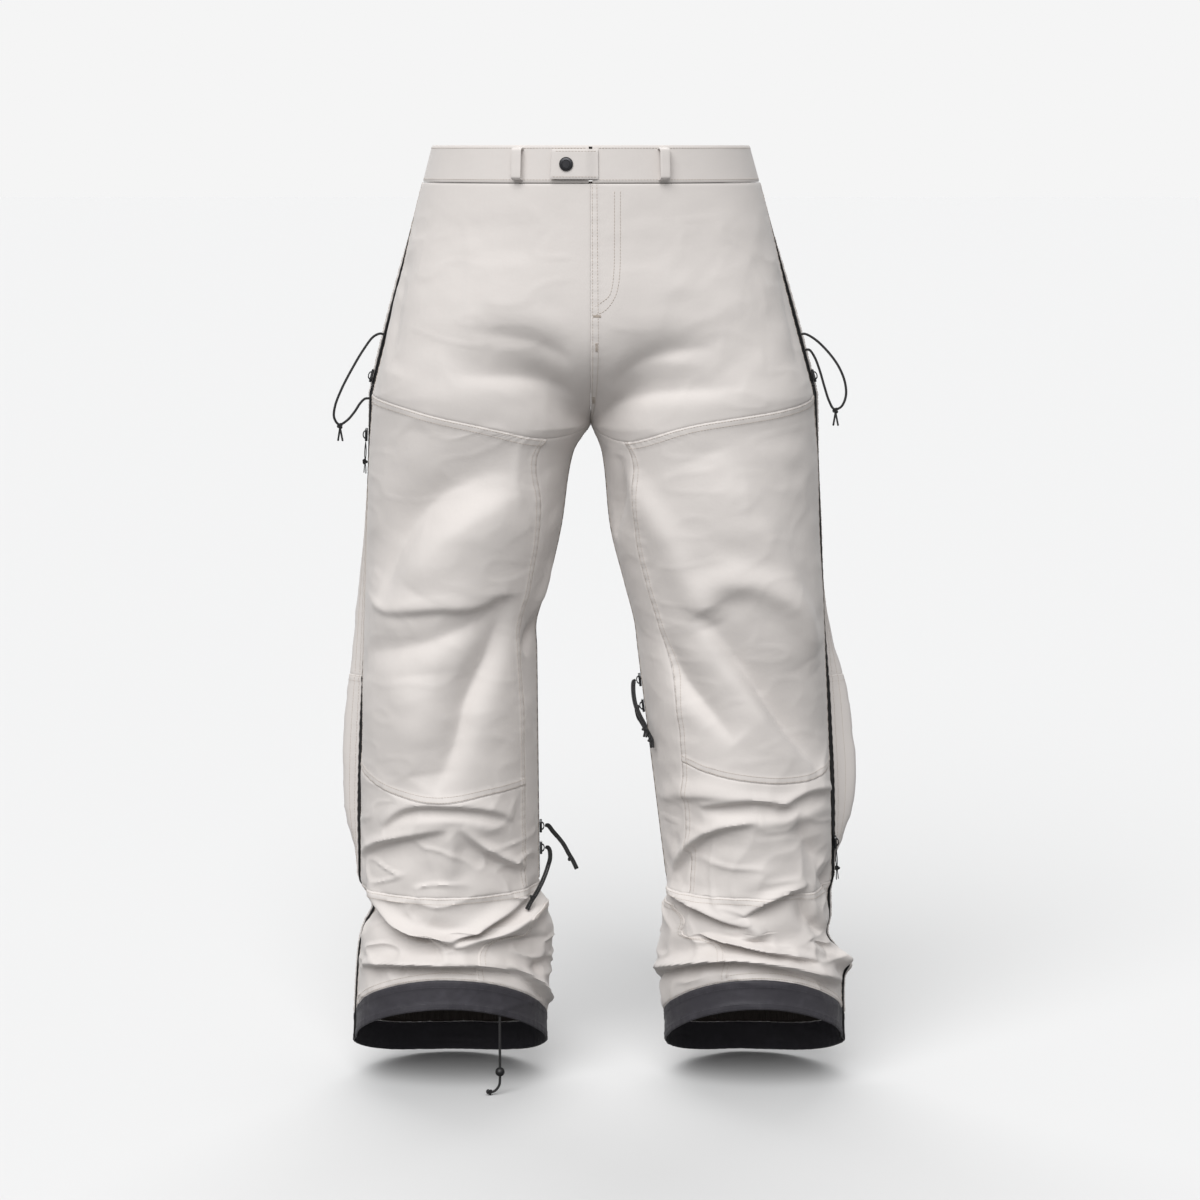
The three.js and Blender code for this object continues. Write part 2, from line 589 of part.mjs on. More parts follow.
// Both sliders of an inner leg zip meet between its ends.
function ventZip(side, word) {
  add(`vent_zip_${word}`, zipStrip(side, 0, VENT_ZIP_DROPS), 'tape');
  const [upper, lower] = VENT_SLIDER_DROPS[side];
  addAt(`vent_upper_slider_${word}`, sliderGeometry(), 'metal', surfaceFrame(side, 0, upper, SLIDER_LIFT));
  addAt(`vent_lower_slider_${word}`, sliderGeometry(true), 'metal', surfaceFrame(side, 0, lower, SLIDER_LIFT));
}

// The fly zip lies behind the front panels, with a channel for its slider.
function fly() {
  const top = WAISTBAND_DROP + 3;
  const behind = CLOTH + FLY_CHANNEL + 2;
  const drops = [...steps(top, FLY_END_DROP, 3).slice(0, -1), FLY_END_DROP - 6];
  const tapeAt = [-FLY_TAPE_U, 0, FLY_TAPE_U];
  add('fly_zip', bandSheet(acrossFront, tapeAt, drops, () => -behind, FLY_TAPE_THICK), 'tape');
  const facingAt = [-FLY_FACING_U, -FLY_TAPE_U * 1.2, 0, FLY_TAPE_U * 1.2, FLY_FACING_U];
  const back = behind + FLY_TAPE_THICK + LAYER_GAP;
  const depth = (f) => (Math.abs(f) < FLY_FACING_U ? -back : -CLOTH - FACING_GAP);
  const facingDrops = steps(top, FLY_END_DROP, 3);
  add('fly_facing', bandSheet(acrossFront, facingAt, facingDrops, depth, FLY_FACING_THICK), 'lining');
  const slider = sliderGeometry();
  const lean = Math.atan2(frontY(FLY_END_DROP) - frontY(top), FLY_END_DROP - top);
  slider.rotateX(Math.PI / 2 + lean);
  const rest = top + SLIDER_LENGTH;
  slider.translate(0, frontY(rest) + behind - LAYER_GAP * 2, -rest);
  add('fly_slider', slider, 'metal');
}

function backFlap() {
  const columns = BACK_U.filter((u) => u > FLAP_U[0] && u < FLAP_U[1]);
  const end = (u) => FLAP_TOP + FLAP_HEIGHT + FLAP_POINT * Math.sin(Math.PI * ramp(u, ...FLAP_U));
  const lift = LAYER_GAP * 1.4;
  const edges = { top: () => FLAP_TOP, end };
  add('back_pocket_flap', patch(RIGHT, columns, [0, 0.5, 1], edges, [lift + FLAP_THICK, lift]), 'shell');
}

// ---------- cords ----------
function cordSolid(points, diameter, count) {
  const path = new THREE.CatmullRomCurve3(points.map((p) => new THREE.Vector3(...p)), false, 'centripetal');
  const section = new THREE.Shape();
  for (let i = 0; i < 8; i += 1) {
    const angle = (2 * Math.PI * i) / 8;
    const x = (diameter / 2) * Math.cos(angle);
    const y = (diameter / 2) * Math.sin(angle);
    if (i) section.lineTo(x, y);
    else section.moveTo(x, y);
  }
  section.closePath();
  return new THREE.ExtrudeGeometry(section, { steps: count, extrudePath: path, bevelEnabled: false });
}

const HIP_CORD_RIGHT = [[-215.9, -13.6, -195.8], [-220.1, -14, -194.9], [-227, -17, -198], [-237, -22, -211],
  [-249, -26, -231], [-260, -28, -252], [-267, -28, -270], [-268, -27, -282], [-263, -26, -289],
  [-255, -24.5, -285], [-247, -22.5, -276], [-241, -21.6, -267], [-236, -21.2, -262.4], [-231.3, -20.6, -262]];
const HIP_CORD_LEFT = [[219, -13.6, -195.8], [223.1, -14, -195.1], [233, -17, -200], [246, -21, -212],
  [258, -24, -228], [265, -25, -245], [266, -25, -260], [261, -24, -271], [254, -23, -273], [249, -22, -265],
  [244, -20.5, -250], [239, -18.5, -233], [233.5, -17, -219], [228, -16, -211.7], [223.2, -15.4, -211.8]];
const VENT_CORDS_RIGHT = [
  [[-49.4, 9.4, -723.9], [-46.6, 9, -724.6], [-42, 7, -730], [-35.5, 4, -737], [-30, 2, -744],
    [-25, 0, -753], [-20.5, -1, -760.5], [-16.5, -2, -769]],
  [[-49.2, 9.9, -747.9], [-46.6, 9.2, -749], [-45, 3, -756], [-47.5, -7, -765], [-52, -19, -775.5],
    [-58, -30, -786], [-65, -38, -796], [-69, -42, -803]]];
const VENT_CORDS_LEFT = [
  [[47.3, 6.3, -564.8], [44.8, 5.4, -565.6], [43.8, -2, -574], [46, -14, -588], [51, -24, -599],
    [55.5, -30, -607], [57, -33, -613], [56, -34, -619]],
  [[50.8, 6.8, -592.8], [48.4, 5.4, -593.6], [49.5, -6, -602], [55, -20, -610], [60, -30, -617],
    [63, -35, -623], [63.5, -37, -630]]];
const HEM_CORD = [[-97, -56.7, -916.3], [-97, -57, -925], [-97, -57.3, -940], [-97, -57.5, -955],
  [-97, -57.5, -970], [-97, -57.5, -984], [-98, -57.5, -992], [-103, -58, -998], [-110, -59, -999]];
// The ball hangs on its cord, out from the right leg's front hem.
const BALL_U = 0.15;
const BALL_OFFSET = [-3.86, -0.459, -60.38];

function cords() {
  add('hip_cord_right', cordSolid(HIP_CORD_RIGHT, CORD_DIAMETER, 22), 'cord');
  add('hip_cord_left', cordSolid(HIP_CORD_LEFT, CORD_DIAMETER, 22), 'cord');
  add('vent_upper_cord_right', cordSolid(VENT_CORDS_RIGHT[0], CORD_DIAMETER, 10), 'cord');
  add('vent_lower_cord_right', cordSolid(VENT_CORDS_RIGHT[1], CORD_DIAMETER, 12), 'cord');
  add('vent_upper_cord_left', cordSolid(VENT_CORDS_LEFT[0], CORD_DIAMETER, 12), 'cord');
  add('vent_lower_cord_left', cordSolid(VENT_CORDS_LEFT[1], CORD_DIAMETER, 10), 'cord');
  add('hem_cord', cordSolid(HEM_CORD, HEM_CORD_DIAMETER, 14), 'cord');
}

// A ball with a bore for the hem cord.
function ballLock() {
  const bore = HEM_CORD_DIAMETER / 2 + BORE_CLEARANCE;
  const profile = [];
  const start = Math.asin(bore / BALL_RADIUS);
  for (const t of steps(start, Math.PI - start, 10)) {
    profile.push(new THREE.Vector2(BALL_RADIUS * Math.sin(t), -BALL_RADIUS * Math.cos(t)));
  }
  profile.push(profile[0].clone());
  const ball = new THREE.LatheGeometry(profile, 18);
  ball.rotateX(Math.PI / 2);
  const hem = surfacePoint(RIGHT, BALL_U, LENGTH);
  ball.translate(...hem.add(new THREE.Vector3(...BALL_OFFSET)).toArray());
  add('ball_lock', ball, 'moulded');
}

function leg(side, word) {
  frontThigh(side, `front_thigh_${word}`);
  kneePanel(side, `knee_panel_${word}`);
  shinPanel(side, `shin_panel_${word}`);
  innerPanel(side, `inner_leg_panel_${word}`);
  backThigh(side, `back_thigh_${word}`);
  calfPanel(side, `calf_panel_${word}`);
  lowerLeg(side, `lower_leg_${word}`);
  kickPatch(side, `kick_patch_${word}`);
  hemBand(side, `hem_band_${word}`);
  gaiter(side, `gaiter_${word}`);
  pocketZip(side, word);
  sideZip(side, word);
  ventZip(side, word);
  beltLoop(`belt_loop_front_${word}`, side, LOOP_FRONT_U);
  beltLoop(`belt_loop_back_${word}`, side, LOOP_BACK_U);
}

leg(RIGHT, 'right');
leg(LEFT, 'left');
waistband();
seatYoke();
beltLoop('belt_loop_centre', LEFT, 1);
closure();
fly();
backFlap();
cords();
ballLock();

export default part;
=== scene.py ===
import math

import bpy
import numpy as np
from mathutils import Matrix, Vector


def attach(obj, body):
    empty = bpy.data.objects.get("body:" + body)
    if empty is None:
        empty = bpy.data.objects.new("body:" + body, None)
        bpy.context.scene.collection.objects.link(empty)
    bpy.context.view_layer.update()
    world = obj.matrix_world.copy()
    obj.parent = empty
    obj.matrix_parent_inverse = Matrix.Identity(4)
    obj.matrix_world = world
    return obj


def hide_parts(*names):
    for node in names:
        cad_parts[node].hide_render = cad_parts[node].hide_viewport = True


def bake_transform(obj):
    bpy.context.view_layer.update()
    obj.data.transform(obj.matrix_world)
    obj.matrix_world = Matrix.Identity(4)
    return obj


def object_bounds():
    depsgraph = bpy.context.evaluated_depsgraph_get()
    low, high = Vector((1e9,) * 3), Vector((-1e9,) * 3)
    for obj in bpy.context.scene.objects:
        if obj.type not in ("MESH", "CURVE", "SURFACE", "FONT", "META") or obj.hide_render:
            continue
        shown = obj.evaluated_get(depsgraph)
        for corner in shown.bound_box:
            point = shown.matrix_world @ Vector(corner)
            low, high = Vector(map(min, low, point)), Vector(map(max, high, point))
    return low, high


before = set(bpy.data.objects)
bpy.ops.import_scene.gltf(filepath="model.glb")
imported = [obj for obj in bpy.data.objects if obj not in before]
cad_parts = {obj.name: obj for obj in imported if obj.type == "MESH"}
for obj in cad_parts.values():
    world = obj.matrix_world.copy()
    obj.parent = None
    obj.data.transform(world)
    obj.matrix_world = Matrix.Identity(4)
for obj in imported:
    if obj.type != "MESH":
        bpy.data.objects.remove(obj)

bl_info = {
    "name": "Ski Pants",
    "version": (1, 0, 0),
    "blender": (4, 5, 0),
    "location": "3D View > Sidebar > Ski Pants",
    "description": "Cloth, seams, zips, cords and finishes of a pair of ski pants, built on its CAD frame",
    "category": "Object",
}

CAD_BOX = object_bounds()

# ---------------------------------------------------------------- the cut
# The cut is written in millimetres and becomes metres when a mesh is made.
# "drop" is measured down from the waistband's rim. "u" runs once round a leg:
# 0 inseam, 0.25 front, 0.5 outseam, 0.75 back, 1 inseam again.
MM = 0.001
RIGHT, LEFT = -1, 1
SIDES = {RIGHT: "right", LEFT: "left"}
WAIST_HALF_WIDTH = 165
HIP_DROP = 258
CROTCH_DROP = 290
CALF_SEAM_DROP = 783
LENGTH = 1000
HEM_ARCH = 95
HEM_BAND_DROP = 968
WAISTBAND_DROP = 38
BACK_KNEE_DROP = 560
RISE_CURVE = 0.42
HIP_SQUARENESS = 0.07
GAP = 0.4
CENTRE_GAP = 0.05
ZIP_HALF_U = 0.01
ZIP_START_DROP = 14
ROUND = 620  # millimetres round a leg, which makes u a length

OUTSEAM = {RIGHT: (232, 256), LEFT: (236, 270)}
OUTSEAM_DROPS = (HIP_DROP, 960)
INSEAM = {
    RIGHT: [(0, 0), (30, 19), (110, 32), (170, 46), (210, 58.3), (240, 58), (320, 57.3), (400, 56.7),
            (480, 56), (500, 55.8), (550, 46), (610, 46), (710, 50)],
    LEFT: [(0, 0), (30, 12), (110, 21), (170, 36), (210, 46.3), (240, 50), (320, 60), (400, 70),
           (480, 80), (500, 82.5), (550, 78), (610, 75), (710, 82)],
}
FRONT_DEPTH = [(0, 118), (40, 120), (100, 124), (170, 128), (240, 122), (290, 111), (360, 108), (440, 105),
               (530, 101), (600, 97), (690, 88), (770, 78), (850, 72), (930, 72), (1000, 74)]
BACK_DEPTH = [(0, 122), (40, 128), (100, 137), (170, 142), (240, 132), (290, 114), (360, 104), (440, 92),
              (530, 79), (600, 71), (690, 76), (770, 85), (850, 99), (930, 108), (1000, 112)]

# Seam lines: the inner leg seam as (drop, u), the knee patch's ends as (u, drop).
INNER_SEAM = {
    RIGHT: [(290, 0.07), (300, 0.130), (366, 0.112), (436, 0.10), (532, 0.09), (616, 0.085), (783, 0.08)],
    LEFT: [(290, 0.07), (304, 0.114), (356, 0.118), (422, 0.11), (500, 0.115), (580, 0.135), (783, 0.12)],
}
KNEE_TOP = {
    RIGHT: [(0, 290), (0.13, 300), (0.278, 279), (0.388, 263), (0.5, 258)],
    LEFT: [(0, 290), (0.114, 303), (0.242, 281), (0.35, 270), (0.466, 260), (0.5, 258)],
}
KNEE_END = {
    RIGHT: [(0, 664), (0.082, 669), (0.17, 673), (0.256, 679), (0.334, 675), (0.40, 666), (0.5, 646)],
    LEFT: [(0, 625), (0.132, 639), (0.182, 648), (0.25, 656), (0.32, 661), (0.40, 660), (0.5, 648)],
}
# How far the cloth stands outside the straight side seam, as (drop, millimetres).
SIDE_PUFF = {
    RIGHT: [(230, 0), (262, -5), (300, -2), (400, 7), (480, 15), (540, 20), (600, 22), (660, 24), (710, 21),
            (750, 8), (775, 0), (798, -11), (815, -17), (838, -9), (865, -4), (900, -2), (1000, 0)],
    LEFT: [(230, 0), (300, 2), (430, -2), (480, 5), (530, 15), (575, 27), (620, 31), (665, 33), (705, 27),
           (745, 11), (770, -4), (800, -6), (830, -7), (858, -11), (885, 1), (905, 12), (925, 5), (1000, 2)],
}
# The cloth bulges behind the side zip, and only by this share in front of it, and the zip is
# turned a little to the front, so that it stays in sight.
FRONT_PUFF = {RIGHT: 0.12, LEFT: 0.08}
SIDE_BULGE_U = 0.53
PUFF_REACH_U = 0.12
ZIP_TURN = {
    RIGHT: [(0, 0), (70, 0), (150, 2.8), (262, 2.8), (330, 0.9), (540, 0.6), (620, 2.4), (760, 2.6),
            (1000, 2)],
    LEFT: [(0, 0), (70, 0), (150, 2.8), (262, 2.8), (330, 0.9), (400, 1.9), (480, 0.9), (560, 2), (760, 2.8),
           (1000, 2)],
}


def mix(a, b, t):
    return a + (b - a) * t


def smooth(t):
    t = np.clip(t, 0, 1)
    return t * t * (3 - 2 * t)


def ramp(x, low, high):
    return np.clip((x - low) / (high - low), 0, 1)


def through(rows, at):
    """A smooth curve through (place, value) stations."""
    rows = np.asarray(rows, float)
    x, y = rows[:, 0], rows[:, 1]
    slope = np.zeros(len(y))
    slope[1:-1] = (y[2:] - y[:-2]) / (x[2:] - x[:-2])
    slope[0] = (y[1] - y[0]) / (x[1] - x[0])
    slope[-1] = (y[-1] - y[-2]) / (x[-1] - x[-2])
    at = np.clip(at, x[0], x[-1])
    i = np.clip(np.searchsorted(x, at, side="right") - 1, 0, len(x) - 2)
    width = x[i + 1] - x[i]
    t = (at - x[i]) / width
    rise = t * t * (3 - 2 * t)
    leave = (t ** 3 - 2 * t * t + t) * slope[i] * width
    arrive = (t ** 3 - t * t) * slope[i + 1] * width
    return mix(y[i], y[i + 1], rise) + leave + arrive


def outseam_x(side, drop):
    hip, hem = OUTSEAM[side]
    low, high = OUTSEAM_DROPS
    below = mix(hip, hem, (drop - low) / (high - low))
    return np.where(drop >= low, below, mix(WAIST_HALF_WIDTH, hip, drop / low))


def hem_lift(u, drop):
    frontness = (0.5 + 0.5 * np.cos(2 * np.pi * (u - 0.25))) ** 1.3
    return HEM_ARCH * frontness * smooth(ramp(drop, CALF_SEAM_DROP, HEM_BAND_DROP - 10))


def base_point(side, u, drop):
    """The CAD garment's outer surface, in millimetres."""
    u, drop = np.broadcast_arrays(np.asarray(u, float), np.asarray(drop, float))
    t = np.clip((CROTCH_DROP - drop) / CROTCH_DROP / RISE_CURVE, 0, 1)
    away = smooth(np.minimum(u, 1 - u) / 0.16)
    share = mix(1 - (1 - t) ** 3, smooth(t), away)
    outer = outseam_x(side, drop)
    inner = np.maximum(0, through(INSEAM[side], drop - CROTCH_DROP))
    middle = np.maximum(0, 14 * (drop - HIP_DROP) / (OUTSEAM_DROPS[1] - HIP_DROP))
    front, back = -through(FRONT_DEPTH, drop), through(BACK_DEPTH, drop)
    sine = np.sin(2 * np.pi * u)
    leg_x = mix(outer, inner, 0.5 + 0.5 * np.cos(2 * np.pi * u))
    leg_y = middle - np.where(sine > 0, middle - front, back - middle) * sine
    full = 1 + HIP_SQUARENESS * smooth(drop / HIP_DROP) * np.sin(2 * np.pi * u) ** 2
    cosine = np.cos(np.pi * u)
    torso_x = outer * np.sin(np.pi * u) * full
    torso_y = -np.where(cosine > 0, -front, back) * cosine * full
    x = mix(leg_x, torso_x, share) + (1 - share) * CENTRE_GAP
    return np.stack([side * x, mix(leg_y, torso_y, share), -drop + hem_lift(u, drop)], -1)


def unit(v):
    return v / np.maximum(np.linalg.norm(v, axis=-1, keepdims=True), 1e-9)


def base_normal(side, u, drop):
    low = np.where(drop > CROTCH_DROP, np.maximum(drop - 0.8, CROTCH_DROP + 0.01), drop - 0.8)
    high = np.where(drop > CROTCH_DROP, drop + 0.8, np.minimum(drop + 0.8, CROTCH_DROP))
    across = base_point(side, u + 0.002, drop) - base_point(side, u - 0.002, drop)
    down = base_point(side, u, high) - base_point(side, u, low)
    return unit(np.cross(down, across)) * side


# ---------------------------------------------------------------- folds
# A fold is (kind, height, width above, width below, points). Points are (u, drop); height and
# widths are millimetres. A ridge stands out, a valley goes in, and a lip stands out above
# its line and goes in below it, where the cloth folds over.
FOLDS = {
    RIGHT: [
        ("valley", 11, 34, 24, [(0.168, 332), (0.224, 338), (0.278, 352), (0.336, 380), (0.376, 420),
                                (0.402, 475)]),
        ("ridge", 4, 18, 42, [(0.15, 356), (0.226, 384), (0.285, 412), (0.32, 455)]),
        ("lip", 4.5, 14, 26, [(0.43, 478), (0.362, 482), (0.274, 476), (0.204, 476), (0.14, 460)]),
        ("valley", 5, 20, 14, [(0.446, 528), (0.318, 514), (0.252, 502), (0.178, 484), (0.145, 466)]),
        ("valley", 9, 30, 14, [(0.142, 462), (0.148, 504), (0.176, 538), (0.21, 574), (0.23, 614),
                               (0.27, 668)]),
        ("ridge", 4, 34, 30, [(0.31, 545), (0.30, 600), (0.29, 650)]),
        ("ridge", 3.5, 12, 12, [(0.008, 415), (0.032, 455), (0.06, 492)]),
        ("valley", 5, 10, 8, [(0.015, 500), (0.05, 508), (0.08, 528)]),
        ("lip", 6, 12, 10, [(0.372, 712), (0.33, 692), (0.286, 684), (0.232, 685), (0.17, 692), (0.12, 706)]),
        ("ridge", 3, 6, 9, [(0.36, 716), (0.30, 702), (0.232, 699), (0.17, 707), (0.13, 712)]),
        ("lip", 5, 8, 22, [(0.248, 710), (0.30, 716), (0.378, 730), (0.452, 752)]),
        ("lip", 5.5, 8, 24, [(0.226, 708), (0.192, 728), (0.14, 748), (0.08, 762)]),
        ("ridge", 3, 10, 10, [(0.238, 704), (0.243, 765)]),
        ("lip", 10, 16, 15, [(0.43, 790), (0.394, 804), (0.35, 828), (0.304, 856), (0.264, 898),
                             (0.24, 926)]),
        ("lip", 6, 16, 8, [(0.06, 790), (0.12, 806), (0.18, 832), (0.222, 878), (0.244, 916)]),
        ("ridge", 7, 9, 13, [(-0.02, 804), (0.06, 812), (0.11, 826), (0.16, 856), (0.208, 900),
                             (0.246, 934)]),
        ("valley", 5, 12, 18, [(0.05, 862), (0.12, 886), (0.185, 922)]),
        ("lip", 6, 8, 18, [(0.38, 826), (0.345, 846), (0.304, 876), (0.268, 916), (0.254, 948)]),
        ("lip", 9, 15, 9, [(0.43, 926), (0.378, 938), (0.32, 948), (0.26, 953), (0.19, 952), (0.12, 950)]),
        ("lip", 6, 10, 10, [(0.15, 944), (0.09, 950), (0.02, 958), (-0.03, 956)]),
        ("valley", 5, 8, 10, [(0.03, 900), (0.06, 920), (0.095, 944)]),
        ("valley", 6, 16, 16, [(0.40, 808), (0.46, 812), (0.5, 814), (0.56, 812)]),
    ],
    LEFT: [
        ("ridge", 5, 20, 34, [(0.25, 312), (0.282, 358), (0.32, 402), (0.348, 440), (0.374, 476),
                              (0.41, 530)]),
        ("valley", 11, 40, 10, [(0.20, 478), (0.24, 518), (0.285, 557), (0.324, 590), (0.37, 622),
                                (0.42, 652)]),
        ("ridge", 5, 18, 14, [(0.20, 482), (0.224, 456), (0.26, 445), (0.32, 456), (0.372, 486),
                              (0.42, 545)]),
        ("ridge", 4, 14, 22, [(0.05, 318), (0.104, 342), (0.145, 372), (0.176, 410), (0.19, 450),
                              (0.215, 492)]),
        ("valley", 6, 22, 9, [(0.12, 500), (0.145, 546), (0.194, 582), (0.24, 614)]),
        ("valley", 6, 14, 14, [(0.09, 318), (0.082, 355), (0.03, 405)]),
        ("ridge", 4, 12, 6, [(0.06, 684), (0.12, 676), (0.178, 671), (0.262, 669)]),
        ("lip", 7, 9, 12, [(0.165, 688), (0.20, 682), (0.256, 678), (0.31, 683), (0.345, 690)]),
        ("lip", 6, 10, 12, [(0.30, 690), (0.34, 679), (0.39, 674), (0.47, 682)]),
        ("ridge", 3, 7, 9, [(0.16, 698), (0.21, 700), (0.27, 701), (0.335, 700), (0.40, 695), (0.47, 700)]),
        ("lip", 6, 9, 22, [(0.268, 700), (0.198, 709), (0.14, 729), (0.08, 766)]),
        ("valley", 6, 10, 14, [(0.34, 696), (0.366, 726), (0.41, 756)]),
        ("lip", 8, 14, 15, [(0.02, 792), (0.08, 795), (0.156, 806), (0.232, 836)]),
        ("lip", 7, 10, 18, [(0.232, 810), (0.262, 794), (0.30, 784), (0.36, 776)]),
        ("valley", 6, 10, 12, [(0.348, 782), (0.362, 818), (0.405, 860)]),
        ("ridge", 5, 10, 12, [(0.236, 808), (0.258, 850), (0.25, 905)]),
        ("lip", 8, 11, 13, [(0.15, 862), (0.19, 896), (0.24, 924), (0.30, 934), (0.37, 934)]),
        ("lip", 10, 15, 10, [(-0.04, 912), (0.04, 924), (0.12, 936), (0.20, 944), (0.27, 951), (0.34, 955),
                             (0.41, 952), (0.48, 940)]),
        ("valley", 6, 18, 14, [(0.36, 884), (0.42, 905), (0.47, 930)]),
        ("ridge", 9, 15, 12, [(0.40, 908), (0.45, 912), (0.5, 910), (0.56, 904)]),
        ("valley", 8, 12, 14, [(0.39, 770), (0.444, 776), (0.5, 790), (0.56, 800)]),
    ],
}
# Folds that both legs share, behind and at the hips.
SHARED_FOLDS = [
    ("valley", 4, 16, 10, [(0.03, 266), (0.09, 250), (0.17, 241), (0.27, 238)]),
    ("valley", 3, 14, 10, [(0.03, 228), (0.10, 206), (0.20, 194)]),
    ("valley", 3, 18, 18, [(0.43, 120), (0.39, 180), (0.40, 238)]),
    ("lip", 6, 30, 22, [(0.58, 318), (0.66, 346), (0.76, 356), (0.87, 344), (0.95, 316)]),
    ("valley", 5, 26, 18, [(0.57, 400), (0.66, 446), (0.78, 462), (0.91, 430)]),
    ("valley", 5, 20, 16, [(0.95, 330), (0.88, 392), (0.76, 430)]),
    ("lip", 6, 16, 13, [(0.56, 520), (0.66, 548), (0.78, 556), (0.93, 530)]),
    ("lip", 6, 14, 13, [(0.55, 590), (0.68, 606), (0.81, 604), (0.95, 580)]),
    ("lip", 5, 12, 12, [(0.60, 640), (0.72, 650), (0.88, 636)]),
    ("valley", 5, 22, 20, [(0.56, 700), (0.70, 724), (0.88, 706)]),
    ("lip", 8, 16, 14, [(0.54, 846), (0.66, 872), (0.80, 874), (0.97, 850)]),
    ("lip", 8, 14, 12, [(0.55, 906), (0.68, 928), (0.84, 928), (1.0, 904)]),
    ("valley", 5, 14, 12, [(0.58, 800), (0.70, 826), (0.82, 822)]),
]


def smooth_line(points, count):
    """A Catmull-Rom line through the points, with count steps to each span."""
    p = np.asarray(points, float)
    p = np.vstack([2 * p[0] - p[1], p, 2 * p[-1] - p[-2]])
    t = np.linspace(0, 1, count, endpoint=False)[:, None]
    spans = []
    for a, b, c, d in zip(p[:-3], p[1:-2], p[2:-1], p[3:]):
        spans.append(0.5 * (2 * b + (c - a) * t + (2 * a - 5 * b + 4 * c - d) * t * t
                            + (3 * b - a - 3 * c + d) * t ** 3))
    return np.vstack(spans + [p[-2:-1]])


def from_line(line, spots):
    """Signed distance from a line, positive below it, and the share of its length at the nearest point."""
    start, step = line[:-1], np.diff(line, axis=0)
    size = np.maximum(np.linalg.norm(step, axis=1), 1e-6)
    way = step / size[:, None]
    rel = spots[:, None, :] - start
    along = np.clip((rel * way).sum(-1), 0, size)
    off = rel - way * along[..., None]
    far = np.linalg.norm(off, axis=-1)
    k = np.argmin(far, axis=1)
    rows = np.arange(len(spots))
    down = np.stack([-way[:, 1], way[:, 0]], -1)
    down[down[:, 1] < 0] *= -1
    side = np.sign((off[rows, k] * down[k]).sum(-1))
    run = np.concatenate([[0], np.cumsum(size)])
    return far[rows, k] * np.where(side == 0, 1, side), (run[k] + along[rows, k]) / run[-1]


LIP_TURN = 3.2  # millimetres over which a lip goes from standing out to going in


def fold_height(fold, spots):
    kind, height, above, below, points = fold
    line = smooth_line(np.asarray(points) * (ROUND, 1), 5)
    reach = 2.6 * max(above, below)
    near = np.all((spots > line.min(0) - reach) & (spots < line.max(0) + reach), axis=1)
    out = np.zeros(len(spots))
    if not near.any():
        return out
    d, share = from_line(line, spots[near])
    width = np.where(d < 0, above, below)
    taper = np.sin(np.pi * np.clip(share, 0, 1)) ** 0.7
    if kind == "ridge":
        out[near] = height * taper * np.exp(-(d / width) ** 2)
    elif kind == "valley":
        out[near] = -height * taper * np.exp(-(np.abs(d) / width) ** 1.6)
    else:
        fade = np.exp(-(np.abs(d) / width) ** np.where(d < 0, 2, 1.4))
        out[near] = -height * taper * np.tanh(d / LIP_TURN) * fade * np.where(d < 0, 1, 0.9)
    return out


NOISE_CELLS = 32
NOISE = np.random.default_rng(7).random((NOISE_CELLS,) * 3) * 2 - 1


def value_noise(points, size):
    """Smooth noise from -1 to 1, with lumps of that size."""
    p = points / size
    cell = np.floor(p).astype(int)
    f = smooth(p - cell)
    total = np.zeros(p.shape[:-1])
    for dx in (0, 1):
        for dy in (0, 1):
            for dz in (0, 1):
                weight = (np.abs(1 - dx - f[..., 0]) * np.abs(1 - dy - f[..., 1])
                          * np.abs(1 - dz - f[..., 2]))
                at = (cell + (dx, dy, dz)) % NOISE_CELLS
                total += weight * NOISE[at[..., 0], at[..., 1], at[..., 2]]
    return total


def crease(points, size):
    """Sharp little creases with flat cloth between them, from 0 to 1."""
    bend = value_noise(points + 11, size * 1.3) * size * 0.5
    return (1 - np.minimum(np.abs(value_noise(points + bend[..., None], size)) * 2.4, 1)) ** 2


# A zip holds the cloth flat for HELD_U on each side, and lets it go over the next RELEASE_U.
HELD_U, RELEASE_U = 0.013, 0.035
HEM_HOLD = 0.45  # share of the folds that reaches the hem band


def calm(u, drop):
    """0 where the cloth is held flat by hardware, 1 where it is free."""
    u = u % 1.0
    side_zip = smooth((np.abs(u - 0.5) - HELD_U) / RELEASE_U)
    around = np.minimum(np.abs(u), np.abs(u - 1))
    vent = np.maximum(smooth((around - HELD_U) / RELEASE_U), smooth((drop - CALF_SEAM_DROP - 1) / 20))
    waist = smooth((drop - WAISTBAND_DROP - 4) / 45)
    hem = mix(1, HEM_HOLD, smooth((drop - HEM_BAND_DROP + 13) / 20))
    return side_zip * vent * waist * hem


# The folds' heights are multiplied by these, from the thighs to the lower legs.
FOLD_STRENGTHS = (1.2, 1.8)
THIGH_SHARES = {"lip": 0.7, "ridge": 1.45, "valley": 1.45}
# The shared folds are moved by this much towards opposite ways on the two legs, as (u, drop).
SHARED_SHIFT = (0.012, 7)
# Unevenness, as (offset, stretch, size of a lump, height on the thighs, height on the lower legs).
LUMPS = [(900, (1, 1, 1), 74, 2.2, 3.0), (1900, (1, 1, 1.6), 31, 0.8, 1.5), (2900, (1, 1, 1), 13, 0.16, 0.32)]
CREASES = [(3900, (1, 1, 2.1), 46, 0.5, 2.6), (4900, (1.4, 1, 0.8), 58, 0.4, 1.6)]


